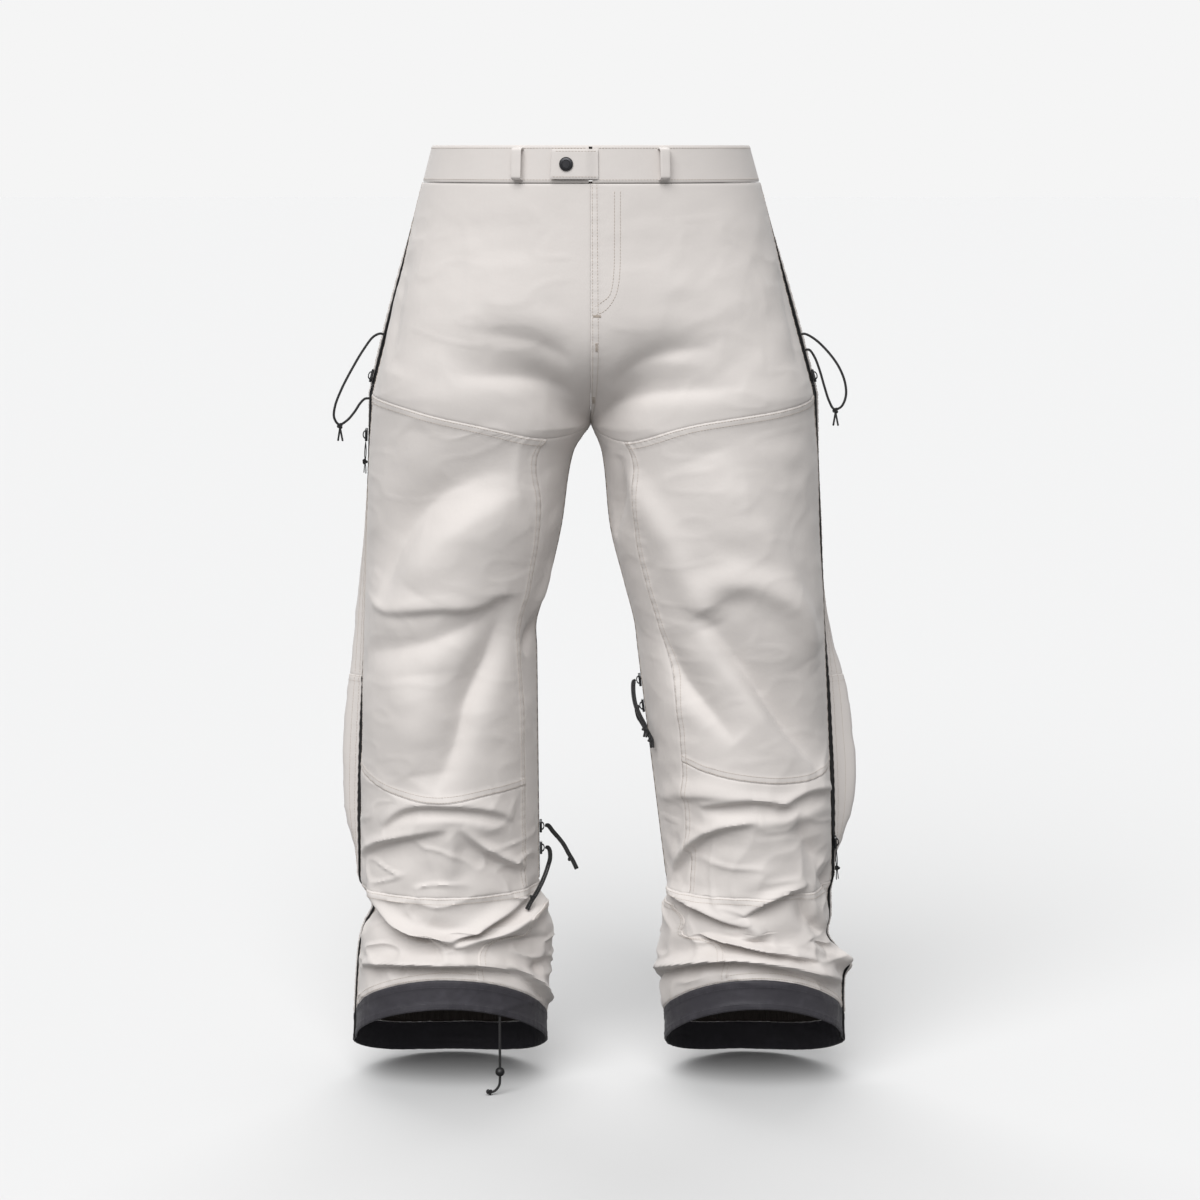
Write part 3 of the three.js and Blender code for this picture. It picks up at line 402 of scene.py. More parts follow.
def relief(side, u, drop):
    """How far the folds move the cloth along its normal, in millimetres."""
    shape = u.shape
    spots = np.stack([u.ravel() * ROUND, drop.ravel()], -1)
    strength = mix(*FOLD_STRENGTHS, smooth((spots[:, 1] - 670) / 90))
    below_knee = smooth((spots[:, 1] - 640) / 60)
    total = np.zeros(len(spots))
    for fold in FOLDS[side]:
        height = fold_height(fold, spots) + fold_height(fold, spots - (ROUND, 0))
        total += height * mix(THIGH_SHARES[fold[0]], 1, below_knee) * strength
    shift = SHARED_SHIFT[0] * side * ROUND, SHARED_SHIFT[1] * side
    for fold in SHARED_FOLDS:
        total += fold_height(fold, spots - shift) * strength
    total = total.reshape(shape)
    at = base_point(side, u, drop)
    lower = smooth((drop - 640) / 160)
    for pattern, layers in ((value_noise, LUMPS), (crease, CREASES)):
        for offset, stretch, size, on_thigh, on_lower_leg in layers:
            total += pattern(at * stretch + offset, size) * mix(on_thigh, on_lower_leg, lower)
    return total * calm(u, drop)


def puff(side, u, drop):
    """How far the cloth stands out sideways round the side zip, in millimetres."""
    u = u % 1.0
    out = through(SIDE_PUFF[side], drop)
    hold = 1 - smooth((drop - 772) / 26)
    away = np.abs(u - 0.5)
    window = np.exp(-((u - mix(0.5, SIDE_BULGE_U, hold)) / PUFF_REACH_U) ** 2)
    window = window * (1 - hold * np.exp(-(away / (2 * HELD_U)) ** 2))
    front = mix(1, mix(FRONT_PUFF[side], 1, smooth((u - 0.47) / 0.06)), hold)
    turn = np.clip((u - 0.5) / 0.011, -1, 1) * np.exp(-(np.maximum(away - 0.012, 0) / 0.05) ** 2)
    return out * window * front + turn * through(ZIP_TURN[side], drop)


def drape(side, u, drop, lift=0.0):
    """A point on the worn cloth, lifted along its own normal, in millimetres."""
    u, drop = np.broadcast_arrays(np.asarray(u, float), np.asarray(drop, float))
    p = base_point(side, u, drop) + base_normal(side, u, drop) * (relief(side, u, drop) + lift)[..., None]
    p[..., 0] += side * puff(side, u, drop)
    return p


# ---------------------------------------------------------------- meshes
def deselect():
    for other in bpy.context.selected_objects:
        other.select_set(False)


def use(piece):
    deselect()
    piece.select_set(True)
    bpy.context.view_layer.objects.active = piece


def mesh_piece(name, points, faces, finishes, uvs=None):
    """A new mesh object from points in millimetres."""
    data = bpy.data.meshes.new(name)
    points = np.asarray(points, float).reshape(-1, 3) * MM
    faces = np.asarray(faces, np.int32)
    data.vertices.add(len(points))
    data.vertices.foreach_set("co", points.astype(np.float32).ravel())
    data.loops.add(faces.size)
    data.loops.foreach_set("vertex_index", faces.ravel())
    data.polygons.add(len(faces))
    data.polygons.foreach_set("loop_start", np.arange(0, faces.size, faces.shape[1], dtype=np.int32))
    data.update(calc_edges=True)
    if uvs is not None:
        layer = data.uv_layers.new(name="cloth")
        layer.data.foreach_set("uv", np.asarray(uvs, np.float32).reshape(-1, 2)[faces.ravel()].ravel())
    for finish in finishes:
        data.materials.append(finish)
    data.polygons.foreach_set("use_smooth", np.ones(len(faces), bool))
    piece = bpy.data.objects.new(name, data)
    bpy.context.scene.collection.objects.link(piece)
    return piece


def grid_faces(rows, cols):
    r, c = np.meshgrid(np.arange(rows - 1), np.arange(cols - 1), indexing="ij")
    a = (r * cols + c).ravel()
    return np.stack([a, a + 1, a + cols + 1, a + cols], -1)


def cloth(name, points, outward, finishes, uvs, thickness):
    """A sheet from a grid of points. outward is the way its outer side faces."""
    rows, cols = points.shape[:2]
    faces = grid_faces(rows, cols)
    a, b, d = points[:-1, :-1], points[:-1, 1:], points[1:, :-1]
    facing = (np.cross(b - a, d - a) * np.broadcast_to(outward, points.shape)[:-1, :-1]).sum()
    piece = mesh_piece(name, points, faces if facing > 0 else faces[:, ::-1], finishes, uvs)
    return thicken(piece, thickness, len(finishes) - 1)


def thicken(piece, thickness, inner_slot):
    """Gives a sheet its thickness inwards, in millimetres. The inside may take a second finish."""
    solid = piece.modifiers.new("thickness", "SOLIDIFY")
    solid.thickness = thickness * MM
    solid.offset = -1
    solid.material_offset = inner_slot
    use(piece)
    bpy.ops.object.modifier_apply(modifier=solid.name)
    bpy.ops.object.shade_smooth_by_angle(angle=math.radians(50))
    return piece


def settle(piece, body, slot, *nodes):
    """Puts a piece on its body. A piece of a flap that is sewn to the pants is left where it stands, with its placing
    baked into its mesh.
    """
    if body in SEWN_ROOTS:
        root, free = SEWN_ROOTS[body]
        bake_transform(piece)
        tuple(root)
        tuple(free)
    else:
        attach(piece, body)
    if nodes:
        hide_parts(*nodes)
    return piece


EDGE_ROWS = (0, 0.9, 2.0, 3.6, 7.4, 8.6, 10.4)  # millimetres in from an edge
STITCH_INSETS = (1.9, 7.0)


def edge_steps(length, step):
    """Shares of a length, with close rows near both ends for rolled edges and stitched bands."""
    start = [c for c in EDGE_ROWS if c < length / 2.5]
    count = max(2, int(round((length - 2 * start[-1]) / step)) + 1)
    inside = np.linspace(start[-1], length - start[-1], count)
    return np.concatenate([start[:-1], inside, [length - c for c in start[:-1]][::-1]]) / length


def roll(edge, stitched, run, phase):
    """Height of the cloth near a seam: rolled at the edge, thicker where it is stitched down."""
    down = -0.55 * np.exp(-(edge / 0.9) ** 2)
    band = 0.4 * (smooth(edge / 1.4) - smooth((edge - 7.6) / 1.6)) * stitched
    pucker = 0.30 * np.sin(2 * np.pi * run / 10.5 + 2 * np.sin(run / 17 + phase)) * np.exp(-(edge / 9) ** 2)
    return down + band + pucker * stitched


class Panel:
    """A piece of cloth between two u lines and two drop lines."""

    def __init__(self, side, left, right, top, end, stitched=""):
        self.side, self.stitched = side, stitched
        self.left, self.right, self.top, self.end = left, right, top, end

    def place(self, i, j):
        """The u and drop at a share of the width and of the height."""
        u = mix(self.left(500.0), self.right(500.0), i)
        for _ in range(5):
            drop = mix(self.top(u), self.end(u), j)
            u = mix(self.left(drop), self.right(drop), i)
        return u, mix(self.top(u), self.end(u), j)

    def sizes(self, i, j):
        u, drop = self.place(i, j)
        width = (self.right(drop) - self.left(drop)) * ROUND
        height = self.end(u) - self.top(u)
        return width, height

    def edges(self, i, j):
        """Height given by the panel's own seams."""
        width, height = self.sizes(i, j)
        total = 0
        reach = {"L": i * width, "R": (1 - i) * width, "T": j * height, "B": (1 - j) * height}
        for k, (letter, edge) in enumerate(reach.items()):
            run = (j * height) if letter in "LR" else (i * width)
            total = total + roll(edge, 1.0 if letter in self.stitched else 0.0, run, 1.7 * k + self.side)
        return total

    def points(self, i, j, lift=0.0):
        u, drop = self.place(i, j)
        return drape(self.side, u, drop, self.edges(i, j) + lift)

    def grid(self, step):
        width, height = self.sizes(np.array(0.5), np.array(0.5))
        cols = edge_steps(float(width), step)
        rows = edge_steps(float(height), step)
        i, j = np.meshgrid(cols, rows)
        return i, j

    def build(self, name, finishes, step, thickness, lift=0.0):
        i, j = self.grid(step)
        u, drop = self.place(i, j)
        uvs = np.stack([u * ROUND * MM, -drop * MM], -1)
        outward = base_normal(self.side, u, drop)
        return cloth(name, self.points(i, j, lift), outward, finishes, uvs, thickness)

    def cut(self):
        """The flat width, length and area of the cut piece, in metres."""
        i, j = np.meshgrid(np.linspace(0, 1, 40), np.linspace(0, 1, 60))
        p = base_point(self.side, *self.place(i, j)) * MM
        across, down = np.diff(p, axis=1), np.diff(p, axis=0)
        widths = np.linalg.norm(across, axis=-1).sum(1)
        lengths = np.linalg.norm(down, axis=-1).sum(0)
        area = np.linalg.norm(np.cross(across[:-1], down[:, :-1]), axis=-1).sum()
        return float(widths.max()), float(lengths.max()), float(area)

    def stitch_rows(self, lift=0.12):
        """The lines of stitching along each stitched edge, as (points, normals)."""
        lines = []
        for letter in self.stitched:
            for inset in STITCH_INSETS:
                s = np.linspace(0, 1, 400)
                width, height = self.sizes(np.full(400, 0.5) if letter in "LR" else s,
                                           np.full(400, 0.5) if letter in "TB" else s)
                share = inset / (width if letter in "LR" else height)
                i = {"L": share, "R": 1 - share}.get(letter, s)
                j = {"T": share, "B": 1 - share}.get(letter, s)
                u, drop = self.place(i, j)
                lines.append((self.points(i, j, lift), base_normal(self.side, u, drop)))
        return lines


STITCH = np.array([(0, 0, 0)] + [(t, 0.5 * math.cos(a), 0.5 * math.sin(a)) for t in (0.16, 0.84)
                                 for a in np.arange(5) * 2 * math.pi / 5] + [(1, 0, 0)])
STITCH_FACES = ([(0, 1 + k, 1 + (k + 1) % 5) for k in range(5)]
                + [(1 + k, 6 + k, 6 + (k + 1) % 5) for k in range(5)]
                + [(1 + k, 6 + (k + 1) % 5, 1 + (k + 1) % 5) for k in range(5)]
                + [(11, 6 + (k + 1) % 5, 6 + k) for k in range(5)])


def evenly(points, normals, pitch):
    """Points and normals spaced evenly along a line."""
    run = np.concatenate([[0], np.cumsum(np.linalg.norm(np.diff(points, axis=0), axis=1))])
    at = np.arange(0, run[-1], pitch)
    pick = lambda rows: np.stack([np.interp(at, run, rows[:, k]) for k in range(3)], -1)
    return pick(points), unit(pick(normals))


def stitches(name, lines, finish, pitch, length, thread):
    """Separate stitches of thread along lines, as one mesh."""
    verts, faces = [], []
    count = 0
    for points, normals in lines:
        p, n = evenly(points, normals, pitch)
        if len(p) < 3:
            continue
        t = unit(p[1:] - p[:-1])
        p, n = p[:-1], n[:-1]
        b = np.cross(n, t)
        local = STITCH * (length, thread, thread * 0.8)
        v = (p[:, None] + local[None, :, :1] * t[:, None] + local[None, :, 1:2] * b[:, None]
             + local[None, :, 2:] * n[:, None])
        verts.append(v.reshape(-1, 3))
        f = np.asarray(STITCH_FACES)[None] + (count + np.arange(len(p)) * len(STITCH))[:, None, None]
        faces.append(f.reshape(-1, 3))
        count += len(p) * len(STITCH)
    return mesh_piece(name, np.vstack(verts), np.vstack(faces), [finish])


def tube(name, path, radius, finish, sides=12, closed=False, squash=1.0):
    """A round tube along a path, with its own UV map: round it, then along it in metres."""
    p = np.asarray(path, float)
    ends = np.roll(p, -1, 0) - np.roll(p, 1, 0) if closed else np.gradient(p, axis=0)
    t = unit(ends)
    n = unit(np.cross(t[0], (0.3, 0.9, 0.2)))
    normals = []
    for way in t:
        n = unit(n - way * np.dot(n, way))
        normals.append(n)
    normals = np.array(normals)
    binormals = np.cross(t, normals)
    angle = np.linspace(0, 2 * np.pi, sides, endpoint=False)
    ring = (np.cos(angle)[None, :, None] * normals[:, None]
            + np.sin(angle)[None, :, None] * binormals[:, None] * squash)
    verts = (p[:, None] + ring * radius).reshape(-1, 3)
    count = len(p)
    spans = count if closed else count - 1
    faces = [(r * sides + c, r * sides + (c + 1) % sides, ((r + 1) % count) * sides + (c + 1) % sides,
              ((r + 1) % count) * sides + c) for r in range(spans) for c in range(sides)]
    run = np.concatenate([[0], np.cumsum(np.linalg.norm(np.diff(p, axis=0), axis=1))]) * MM
    uvs = np.stack([np.tile(np.arange(sides) / sides, count), np.repeat(run, sides)], -1)
    if not closed:
        verts = np.vstack([verts, p[:1] - t[:1] * radius * 0.4, p[-1:] + t[-1:] * radius * 0.4])
        uvs = np.vstack([uvs, [[0.5, 0], [0.5, run[-1]]]])
        last = (count - 1) * sides
        for c in range(sides):
            faces.append((count * sides, (c + 1) % sides, c, c))
            faces.append((count * sides + 1, last + c, last + (c + 1) % sides, last + (c + 1) % sides))
    return fold_triangles(name, verts, faces, finish, uvs)


def fold_triangles(name, verts, faces, finish, uvs):
    """A mesh from faces of four corners, of which the last may repeat to make a triangle."""
    data = bpy.data.meshes.new(name)
    faces = [f[:3] if f[3] == f[2] else f for f in faces]
    data.from_pydata((np.asarray(verts) * MM).tolist(), [], faces)
    layer = data.uv_layers.new(name="cloth")
    corner = np.concatenate([np.asarray(f) for f in faces])
    layer.data.foreach_set("uv", np.asarray(uvs, np.float32)[corner].ravel())
    data.materials.append(finish)
    data.polygons.foreach_set("use_smooth", np.ones(len(faces), bool))
    piece = bpy.data.objects.new(name, data)
    bpy.context.scene.collection.objects.link(piece)
    return piece


# ---------------------------------------------------------------- finishes
def colour(red, green, blue):
    """A paint-chart colour, 0 to 255, as linear light."""
    return [c / 255 / 12.92 if c <= 10 else ((c / 255 + 0.055) / 1.055) ** 2.4 for c in (red, green, blue)]


class Value:
    """A number that changes over a surface, with the usual operators."""

    def __init__(self, finish, socket):
        self.finish, self.socket = finish, socket

    def maths(self, kind, *values):
        return self.finish.add("ShaderNodeMath", {"operation": kind}, dict(enumerate(values)))

    def __add__(self, other):
        return self.maths("ADD", self, other)

    def __sub__(self, other):
        return self.maths("SUBTRACT", self, other)

    def __rsub__(self, other):
        return self.maths("SUBTRACT", other, self)

    def __mul__(self, other):
        return self.maths("MULTIPLY", self, other)

    __radd__ = __add__
    __rmul__ = __mul__

    def wave(self):
        return self.maths("SINE", self)

    def size(self):
        return self.maths("ABSOLUTE", self)

    def between(self, low, high):
        """0 below low, 1 above high, smooth between them."""
        return self.finish.add("ShaderNodeMapRange", {"interpolation_type": "SMOOTHSTEP"},
                               {0: self, 1: low, 2: high, 3: 0.0, 4: 1.0})


class Finish:
    """A material in the making. Constants go straight onto the shader's own sockets."""

    def __init__(self, name, base, roughness, **constants):
        self.material = bpy.data.materials.new(name)
        self.material.use_nodes = True
        self.tree = self.material.node_tree
        self.tree.nodes.clear()
        self.shader = self.tree.nodes.new("ShaderNodeBsdfPrincipled")
        output = self.tree.nodes.new("ShaderNodeOutputMaterial")
        self.tree.links.new(self.shader.outputs[0], output.inputs[0])
        self.set("Base Color", (*base, 1.0))
        self.set("Roughness", roughness)
        for socket, value in constants.items():
            self.set(socket.replace("_", " "), value)

    def set(self, socket, value):
        if isinstance(value, Value):
            self.tree.links.new(value.socket, self.shader.inputs[socket])
        else:
            self.shader.inputs[socket].default_value = value

    def add(self, kind, settings, sockets, output=0):
        """A node of that type: its settings are set first, then the values or links of its sockets."""
        node = self.tree.nodes.new(kind)
        for key, value in settings.items():
            setattr(node, key, value)
        for key, value in sockets.items():
            if isinstance(value, Value):
                self.tree.links.new(value.socket, node.inputs[key])
            else:
                node.inputs[key].default_value = value
        return Value(self, node.outputs[output])

    def place(self):
        return self.add("ShaderNodeTexCoord", {}, {}, 3)

    def cloth_uv(self):
        uv = self.add("ShaderNodeUVMap", {"uv_map": "cloth"}, {})
        return [self.add("ShaderNodeSeparateXYZ", {}, {0: uv}, k) for k in (0, 1)]

    def noise(self, scale, detail=2.0, stretch=(1.0, 1.0, 1.0)):
        where = self.add("ShaderNodeMapping", {}, {0: self.place(), 3: stretch})
        return self.add("ShaderNodeTexNoise", {}, {"Vector": where, "Scale": scale, "Detail": detail})

    def blend(self, share, first, second):
        first, second = [c if isinstance(c, Value) else (*c, 1.0) for c in (first, second)]
        return self.add("ShaderNodeMix", {"data_type": "RGBA"}, {0: share, 6: first, 7: second}, 2)

    def weave(self, across, along):
        """Height, 0 to 1, of threads that go over one and under the next. One unit is one thread."""
        a, b = (across * math.pi).wave(), (along * math.pi).wave()
        over = (a * b).between(-0.25, 0.25)
        return over * a.size() + (1 - over) * b.size()

    def bump(self, layers):
        """Height layers as (height, depth in metres, strength), laid on each other."""
        normal = None
        for height, depth, strength in layers:
            sockets = {"Height": height, "Distance": depth, "Strength": strength}
            if normal:
                sockets["Normal"] = normal
            normal = self.add("ShaderNodeBump", {}, sockets)
        self.set("Normal", normal)


# Widths of one thread, rib or strand, in metres.
SHELL_THREAD = 0.00088
LINING_DIAMOND = 0.0022
BAND_THREAD = 0.0011
TAPE_RIB = 0.0009
CORD_STRAND = 0.0016
WEBBING_RIB = 0.0007


def shell_finish(paint):
    f = Finish("shell_cloth", paint.shell, 0.62, Sheen_Weight=0.22, Sheen_Roughness=0.45,
               Specular_IOR_Level=0.32)
    across, down = f.cloth_uv()
    threads = f.weave(across * (1 / SHELL_THREAD), down * (1 / SHELL_THREAD))
    slub = f.noise(260.0, 2.0, (1.0, 1.0, 0.12))
    mottle = f.noise(7.0, 3.0)
    tone = f.blend(mottle.between(0.3, 0.7), [c * 0.975 for c in paint.shell], paint.shell)
    soiled = (0.0 - down).between(0.84, 1.0) * f.noise(34.0, 4.0).between(0.42, 0.7)
    tone = f.blend(soiled * 0.16, tone, paint.wear)
    # Painted shade: the shell colour darkens in the low places between the threads of the weave.
    f.set("Base Color", f.blend((1 - threads) * 0.10, tone, [c * 0.72 for c in paint.shell]))
    f.set("Roughness", 0.56 + slub * 0.12)
    f.bump([(f.noise(60.0, 2.0), 0.0009, 0.3), (f.noise(330.0, 2.0), 0.0002, 0.35), (slub, 0.00012, 0.5),
            (threads, 0.00010, 0.55)])
    return f


def lining_finish(paint):
    f = Finish("inner_lining", paint.lining, 0.7, Sheen_Weight=0.15, Specular_IOR_Level=0.3)
    across, down = f.cloth_uv()
    diamond = f.weave((across + down) * (1 / LINING_DIAMOND), (across - down) * (1 / LINING_DIAMOND))
    # Painted shade: the lining colour darkens in the low places of the diamond weave.
    f.set("Base Color", f.blend(diamond, [c * 0.7 for c in paint.lining], paint.lining))
    f.bump([(f.noise(80.0, 3.0), 0.001, 0.6), (diamond, 0.00018, 0.7)])
    return f


def band_finish(paint):
    f = Finish("hem_band_cloth", paint.band, 0.58, Sheen_Weight=0.12, Sheen_Roughness=0.4,
               Specular_IOR_Level=0.4)
    across, down = f.cloth_uv()
    threads = f.weave(across * (1 / BAND_THREAD), down * (1 / BAND_THREAD))
    scuff = f.noise(60.0, 5.0).between(0.5, 0.74)
    tone = f.blend(scuff * 0.3, paint.band, [c * 2.1 for c in paint.band])
    # Painted shade: the band colour darkens in the low places between the threads.
    f.set("Base Color", f.blend((1 - threads) * 0.35, tone, [c * 0.45 for c in paint.band]))
    f.set("Roughness", 0.5 + scuff * 0.2)
    f.bump([(f.noise(110.0, 3.0), 0.0011, 0.6), (threads, 0.00022, 0.8)])
    return f


def tape_finish(paint):
    f = Finish("zip_tape_cloth", paint.tape, 0.6, Sheen_Weight=0.08, Specular_IOR_Level=0.35)
    across, down = f.cloth_uv()
    # Painted shade: the tape colour darkens in the grooves between the ribs.
    ribs = (down * (2 * math.pi / TAPE_RIB)).wave() * 0.5 + 0.5
    f.set("Base Color", f.blend(ribs, [c * 0.6 for c in paint.tape], paint.tape))
    f.bump([(f.weave(across * (1 / TAPE_RIB), down * (1 / TAPE_RIB)), 0.00018, 0.8)])
    return f


def teeth_finish(paint):
    f = Finish("zip_teeth", [c * 0.7 for c in paint.tape], 0.34, Specular_IOR_Level=0.5)
    wear = f.noise(420.0, 3.0)
    f.set("Roughness", 0.28 + wear * 0.2)
    f.bump([(wear, 0.00006, 0.4)])
    return f


def cord_finish(paint):
    f = Finish("braided_cord", paint.cord, 0.5, Sheen_Weight=0.1, Specular_IOR_Level=0.45)
    around, along = f.cloth_uv()
    strands = f.weave(around * 6.0 + along * (1 / CORD_STRAND), around * 6.0 - along * (1 / CORD_STRAND))
    # Painted highlight and painted shade: raised strands are lighter than the cord's colour, and the hollows between
    # them darker.
    f.set("Base Color", f.blend(strands, [c * 0.4 for c in paint.cord], [c * 1.5 for c in paint.cord]))
    f.bump([(strands, 0.0003, 0.9)])
    return f


def webbing_finish(paint):
    f = Finish("webbing", paint.cord, 0.55, Sheen_Weight=0.1, Specular_IOR_Level=0.4)
    around, along = f.cloth_uv()
    ribs = f.weave(around * 22.0, along * (1 / WEBBING_RIB))
    # Painted highlight and painted shade: raised ribs are lighter than the webbing's colour, and the hollows between
    # them darker.
    f.set("Base Color", f.blend(ribs, [c * 0.5 for c in paint.cord], [c * 1.6 for c in paint.cord]))
    f.bump([(ribs, 0.0002, 0.9)])
    return f


def twisted_thread(name, base, dark, pale):
    f = Finish(name, base, 0.5, Sheen_Weight=0.15)
    twist = f.noise(1500.0, 1.0)
    f.set("Base Color", f.blend(twist, dark, pale))
    f.bump([(twist, 0.00008, 0.5)])
    return f


def thread_finish(paint):
    return twisted_thread("sewing_thread", paint.thread, [c * 0.8 for c in paint.thread], paint.thread)


def hem_thread_finish(paint):
    base, dark, pale = ([c * share for c in paint.band] for share in (0.8, 0.6, 1.4))
    return twisted_thread("hem_thread", base, dark, pale)


def slider_finish(paint):
    f = Finish("slider_lacquer", paint.metal, 0.36, Coat_Weight=0.35, Coat_Roughness=0.2, Metallic=0.25)
    worn = f.noise(520.0, 4.0).between(0.6, 0.78)
    f.set("Base Color", f.blend(worn * 0.35, paint.metal, [c * 6 + 0.05 for c in paint.metal]))
    f.set("Roughness", 0.3 + worn * 0.22)
    f.bump([(f.noise(700.0, 2.0), 0.00005, 0.4)])
    return f


def snap_finish(paint):
    f = Finish("snap_metal", [c * 3 + 0.02 for c in paint.metal], 0.32, Metallic=0.9)
    brushed = f.noise(900.0, 2.0, (1.0, 1.0, 0.1))
    f.set("Roughness", 0.24 + brushed * 0.22)
    f.bump([(brushed, 0.00004, 0.5)])
    return f


def moulded_finish(paint):
    f = Finish("moulded_plastic", paint.cord, 0.42, Specular_IOR_Level=0.5)
    grain = f.noise(1400.0, 2.0)
    f.set("Roughness", 0.36 + grain * 0.16)
    f.bump([(grain, 0.00005, 0.6)])
    return f


FINISHES = {
    "shell_cloth": shell_finish, "inner_lining": lining_finish, "hem_band_cloth": band_finish,
    "zip_tape_cloth": tape_finish, "zip_teeth": teeth_finish, "braided_cord": cord_finish,
    "webbing": webbing_finish, "sewing_thread": thread_finish, "hem_thread": hem_thread_finish,
    "slider_lacquer": slider_finish, "snap_metal": snap_finish, "moulded_plastic": moulded_finish,
}


def finish(name):
    if name not in bpy.data.materials:
        FINISHES[name](bpy.context.scene.ski_pants_colours)
    return bpy.data.materials[name]


# ---------------------------------------------------------------- sizes and colours
def size_in_mm(label, description, default, low, high):
    return bpy.props.FloatProperty(name=label, description=f"{description}, in millimetres",
                                   default=default, min=low, max=high)


class SkiPantsSizes(bpy.types.PropertyGroup):
    """Sizes a user would change"""
    cloth: size_in_mm("Cloth", "Thickness of the shell cloth", 1.2, 0.4, 2.0)
    step: size_in_mm("Mesh step", "Width of a cloth face", 3.0, 1.5, 12.0)
    pitch: size_in_mm("Stitch pitch", "From one stitch to the next", 3.2, 2.0, 6.0)
    stitch: size_in_mm("Stitch length", "Length of one stitch", 2.5, 1.0, 5.0)
    thread: size_in_mm("Thread", "Width of the sewing thread", 0.6, 0.2, 1.5)
    cord: size_in_mm("Cord", "Diameter of the pull cords", 2.6, 1.5, 4.0)
    hem_cord: size_in_mm("Hem cord", "Diameter of the hem drawcord", 2.8, 1.5, 4.0)
    tooth_pitch: size_in_mm("Tooth pitch", "From one zip tooth to the next", 1.5, 1.0, 4.0)


def chart(label, description, red, green, blue):
    return bpy.props.FloatVectorProperty(name=label, description=description, subtype="COLOR",
                                         size=3, min=0.0, max=1.0, default=colour(red, green, blue))


class SkiPantsColours(bpy.types.PropertyGroup):
    """Colours of the cloths, cords and fittings"""
    shell: chart("Shell", "Outer cloth", 218, 212, 208)
    wear: chart("Wear", "Soiling low on the legs", 158, 148, 138)
    band: chart("Hem band", "Cloth of the hem bands", 60, 58, 64)
    lining: chart("Lining", "Inside of the cloth, gaiters and pocket bags", 62, 55, 50)
    tape: chart("Zip tape", "Tapes and teeth", 26, 25, 26)
    cord: chart("Cord", "Cords and webbing", 24, 23, 24)
    thread: chart("Thread", "Topstitching", 196, 184, 172)
    metal: chart("Sliders", "Lacquer on the zip sliders", 30, 30, 32)
    floor: chart("Floor", "Studio floor", 212, 212, 212)


# ---------------------------------------------------------------- stage
CAMERA_PLACE = (0.0095, -3.4, 0.0)
CAMERA_PITCH = 8
CAMERA_LENS = 97.1
CAMERA_SENSOR = 36
FLOOR_DROP = 0.0022
FLOOR_SIZE = 120
# Suns as (name, turn in degrees, strength, width in degrees).
LAMPS = (("key", (46, 0, -14), 2.95, 48), ("back", (-50, -8, 0), 1.6, 60))
SKY = 0.4  # strength of the light from all round
BACKDROP = 0.913  # grey of the surround, as the camera sees it
FLOOR_BOUNCE = 0.2  # grey of the floor, as the light sees it


class SKIPANTS_OT_stage(bpy.types.Operator):
    """Sets the camera, the pale floor and the soft studio light"""
    bl_idname = "skipants.stage"
    bl_label = "Stage"

    def floor_finish(self, paint):
        """A pale floor that throws little light back up at the cloth."""
        f = Finish("studio_floor", paint.floor, 0.9, Specular_IOR_Level=0.0)
        bounce = f.add("ShaderNodeBsdfDiffuse", {}, {"Color": (FLOOR_BOUNCE, FLOOR_BOUNCE, FLOOR_BOUNCE, 1)})
        seen = f.add("ShaderNodeLightPath", {}, {})
        pale = Value(f, f.shader.outputs[0])
        both = f.add("ShaderNodeMixShader", {}, {0: seen, 1: bounce, 2: pale})
        f.tree.links.new(both.socket, f.tree.nodes["Material Output"].inputs[0])
        return f.material

    def surround(self, scene):
        world = bpy.data.worlds.new("studio_surround")
        world.use_nodes = True
        nodes, links = world.node_tree.nodes, world.node_tree.links
        sky = nodes["Background"]
        sky.inputs[0].default_value = (0.99, 1.0, 1.01, 1)
        sky.inputs[1].default_value = SKY
        backdrop = nodes.new("ShaderNodeBackground")
        backdrop.inputs[0].default_value = (BACKDROP, BACKDROP, BACKDROP, 1)
        seen, both = nodes.new("ShaderNodeLightPath"), nodes.new("ShaderNodeMixShader")
        links.new(seen.outputs[0], both.inputs[0])
        links.new(sky.outputs[0], both.inputs[1])
        links.new(backdrop.outputs[0], both.inputs[2])
        links.new(both.outputs[0], nodes["World Output"].inputs[0])
        scene.world = world

    def execute(self, context):
        scene = context.scene
        deselect()
        tilt = math.radians(90 - CAMERA_PITCH)
        bpy.ops.object.camera_add(location=CAMERA_PLACE, rotation=(tilt, 0, 0))
        camera = context.object
        camera.name = "studio_camera"
        camera.data.sensor_width = CAMERA_SENSOR
        camera.data.lens = CAMERA_LENS
        camera.data.clip_end = 200
        scene.camera = camera
        deselect()
        bpy.ops.mesh.primitive_plane_add(size=FLOOR_SIZE, location=(0, 0, CAD_BOX[0][2] - FLOOR_DROP))
        floor = context.object
        floor.name = "studio_floor"
        floor.data.materials.append(self.floor_finish(scene.ski_pants_colours))
        for name, turn, strength, width in LAMPS:
            bpy.ops.object.light_add(type="SUN", rotation=[math.radians(a) for a in turn])
            lamp = context.object
            lamp.name = f"studio_{name}"
            lamp.data.energy = strength
            lamp.data.angle = math.radians(width)
        self.surround(scene)
        scene.view_settings.view_transform = "Standard"
        return {"FINISHED"}


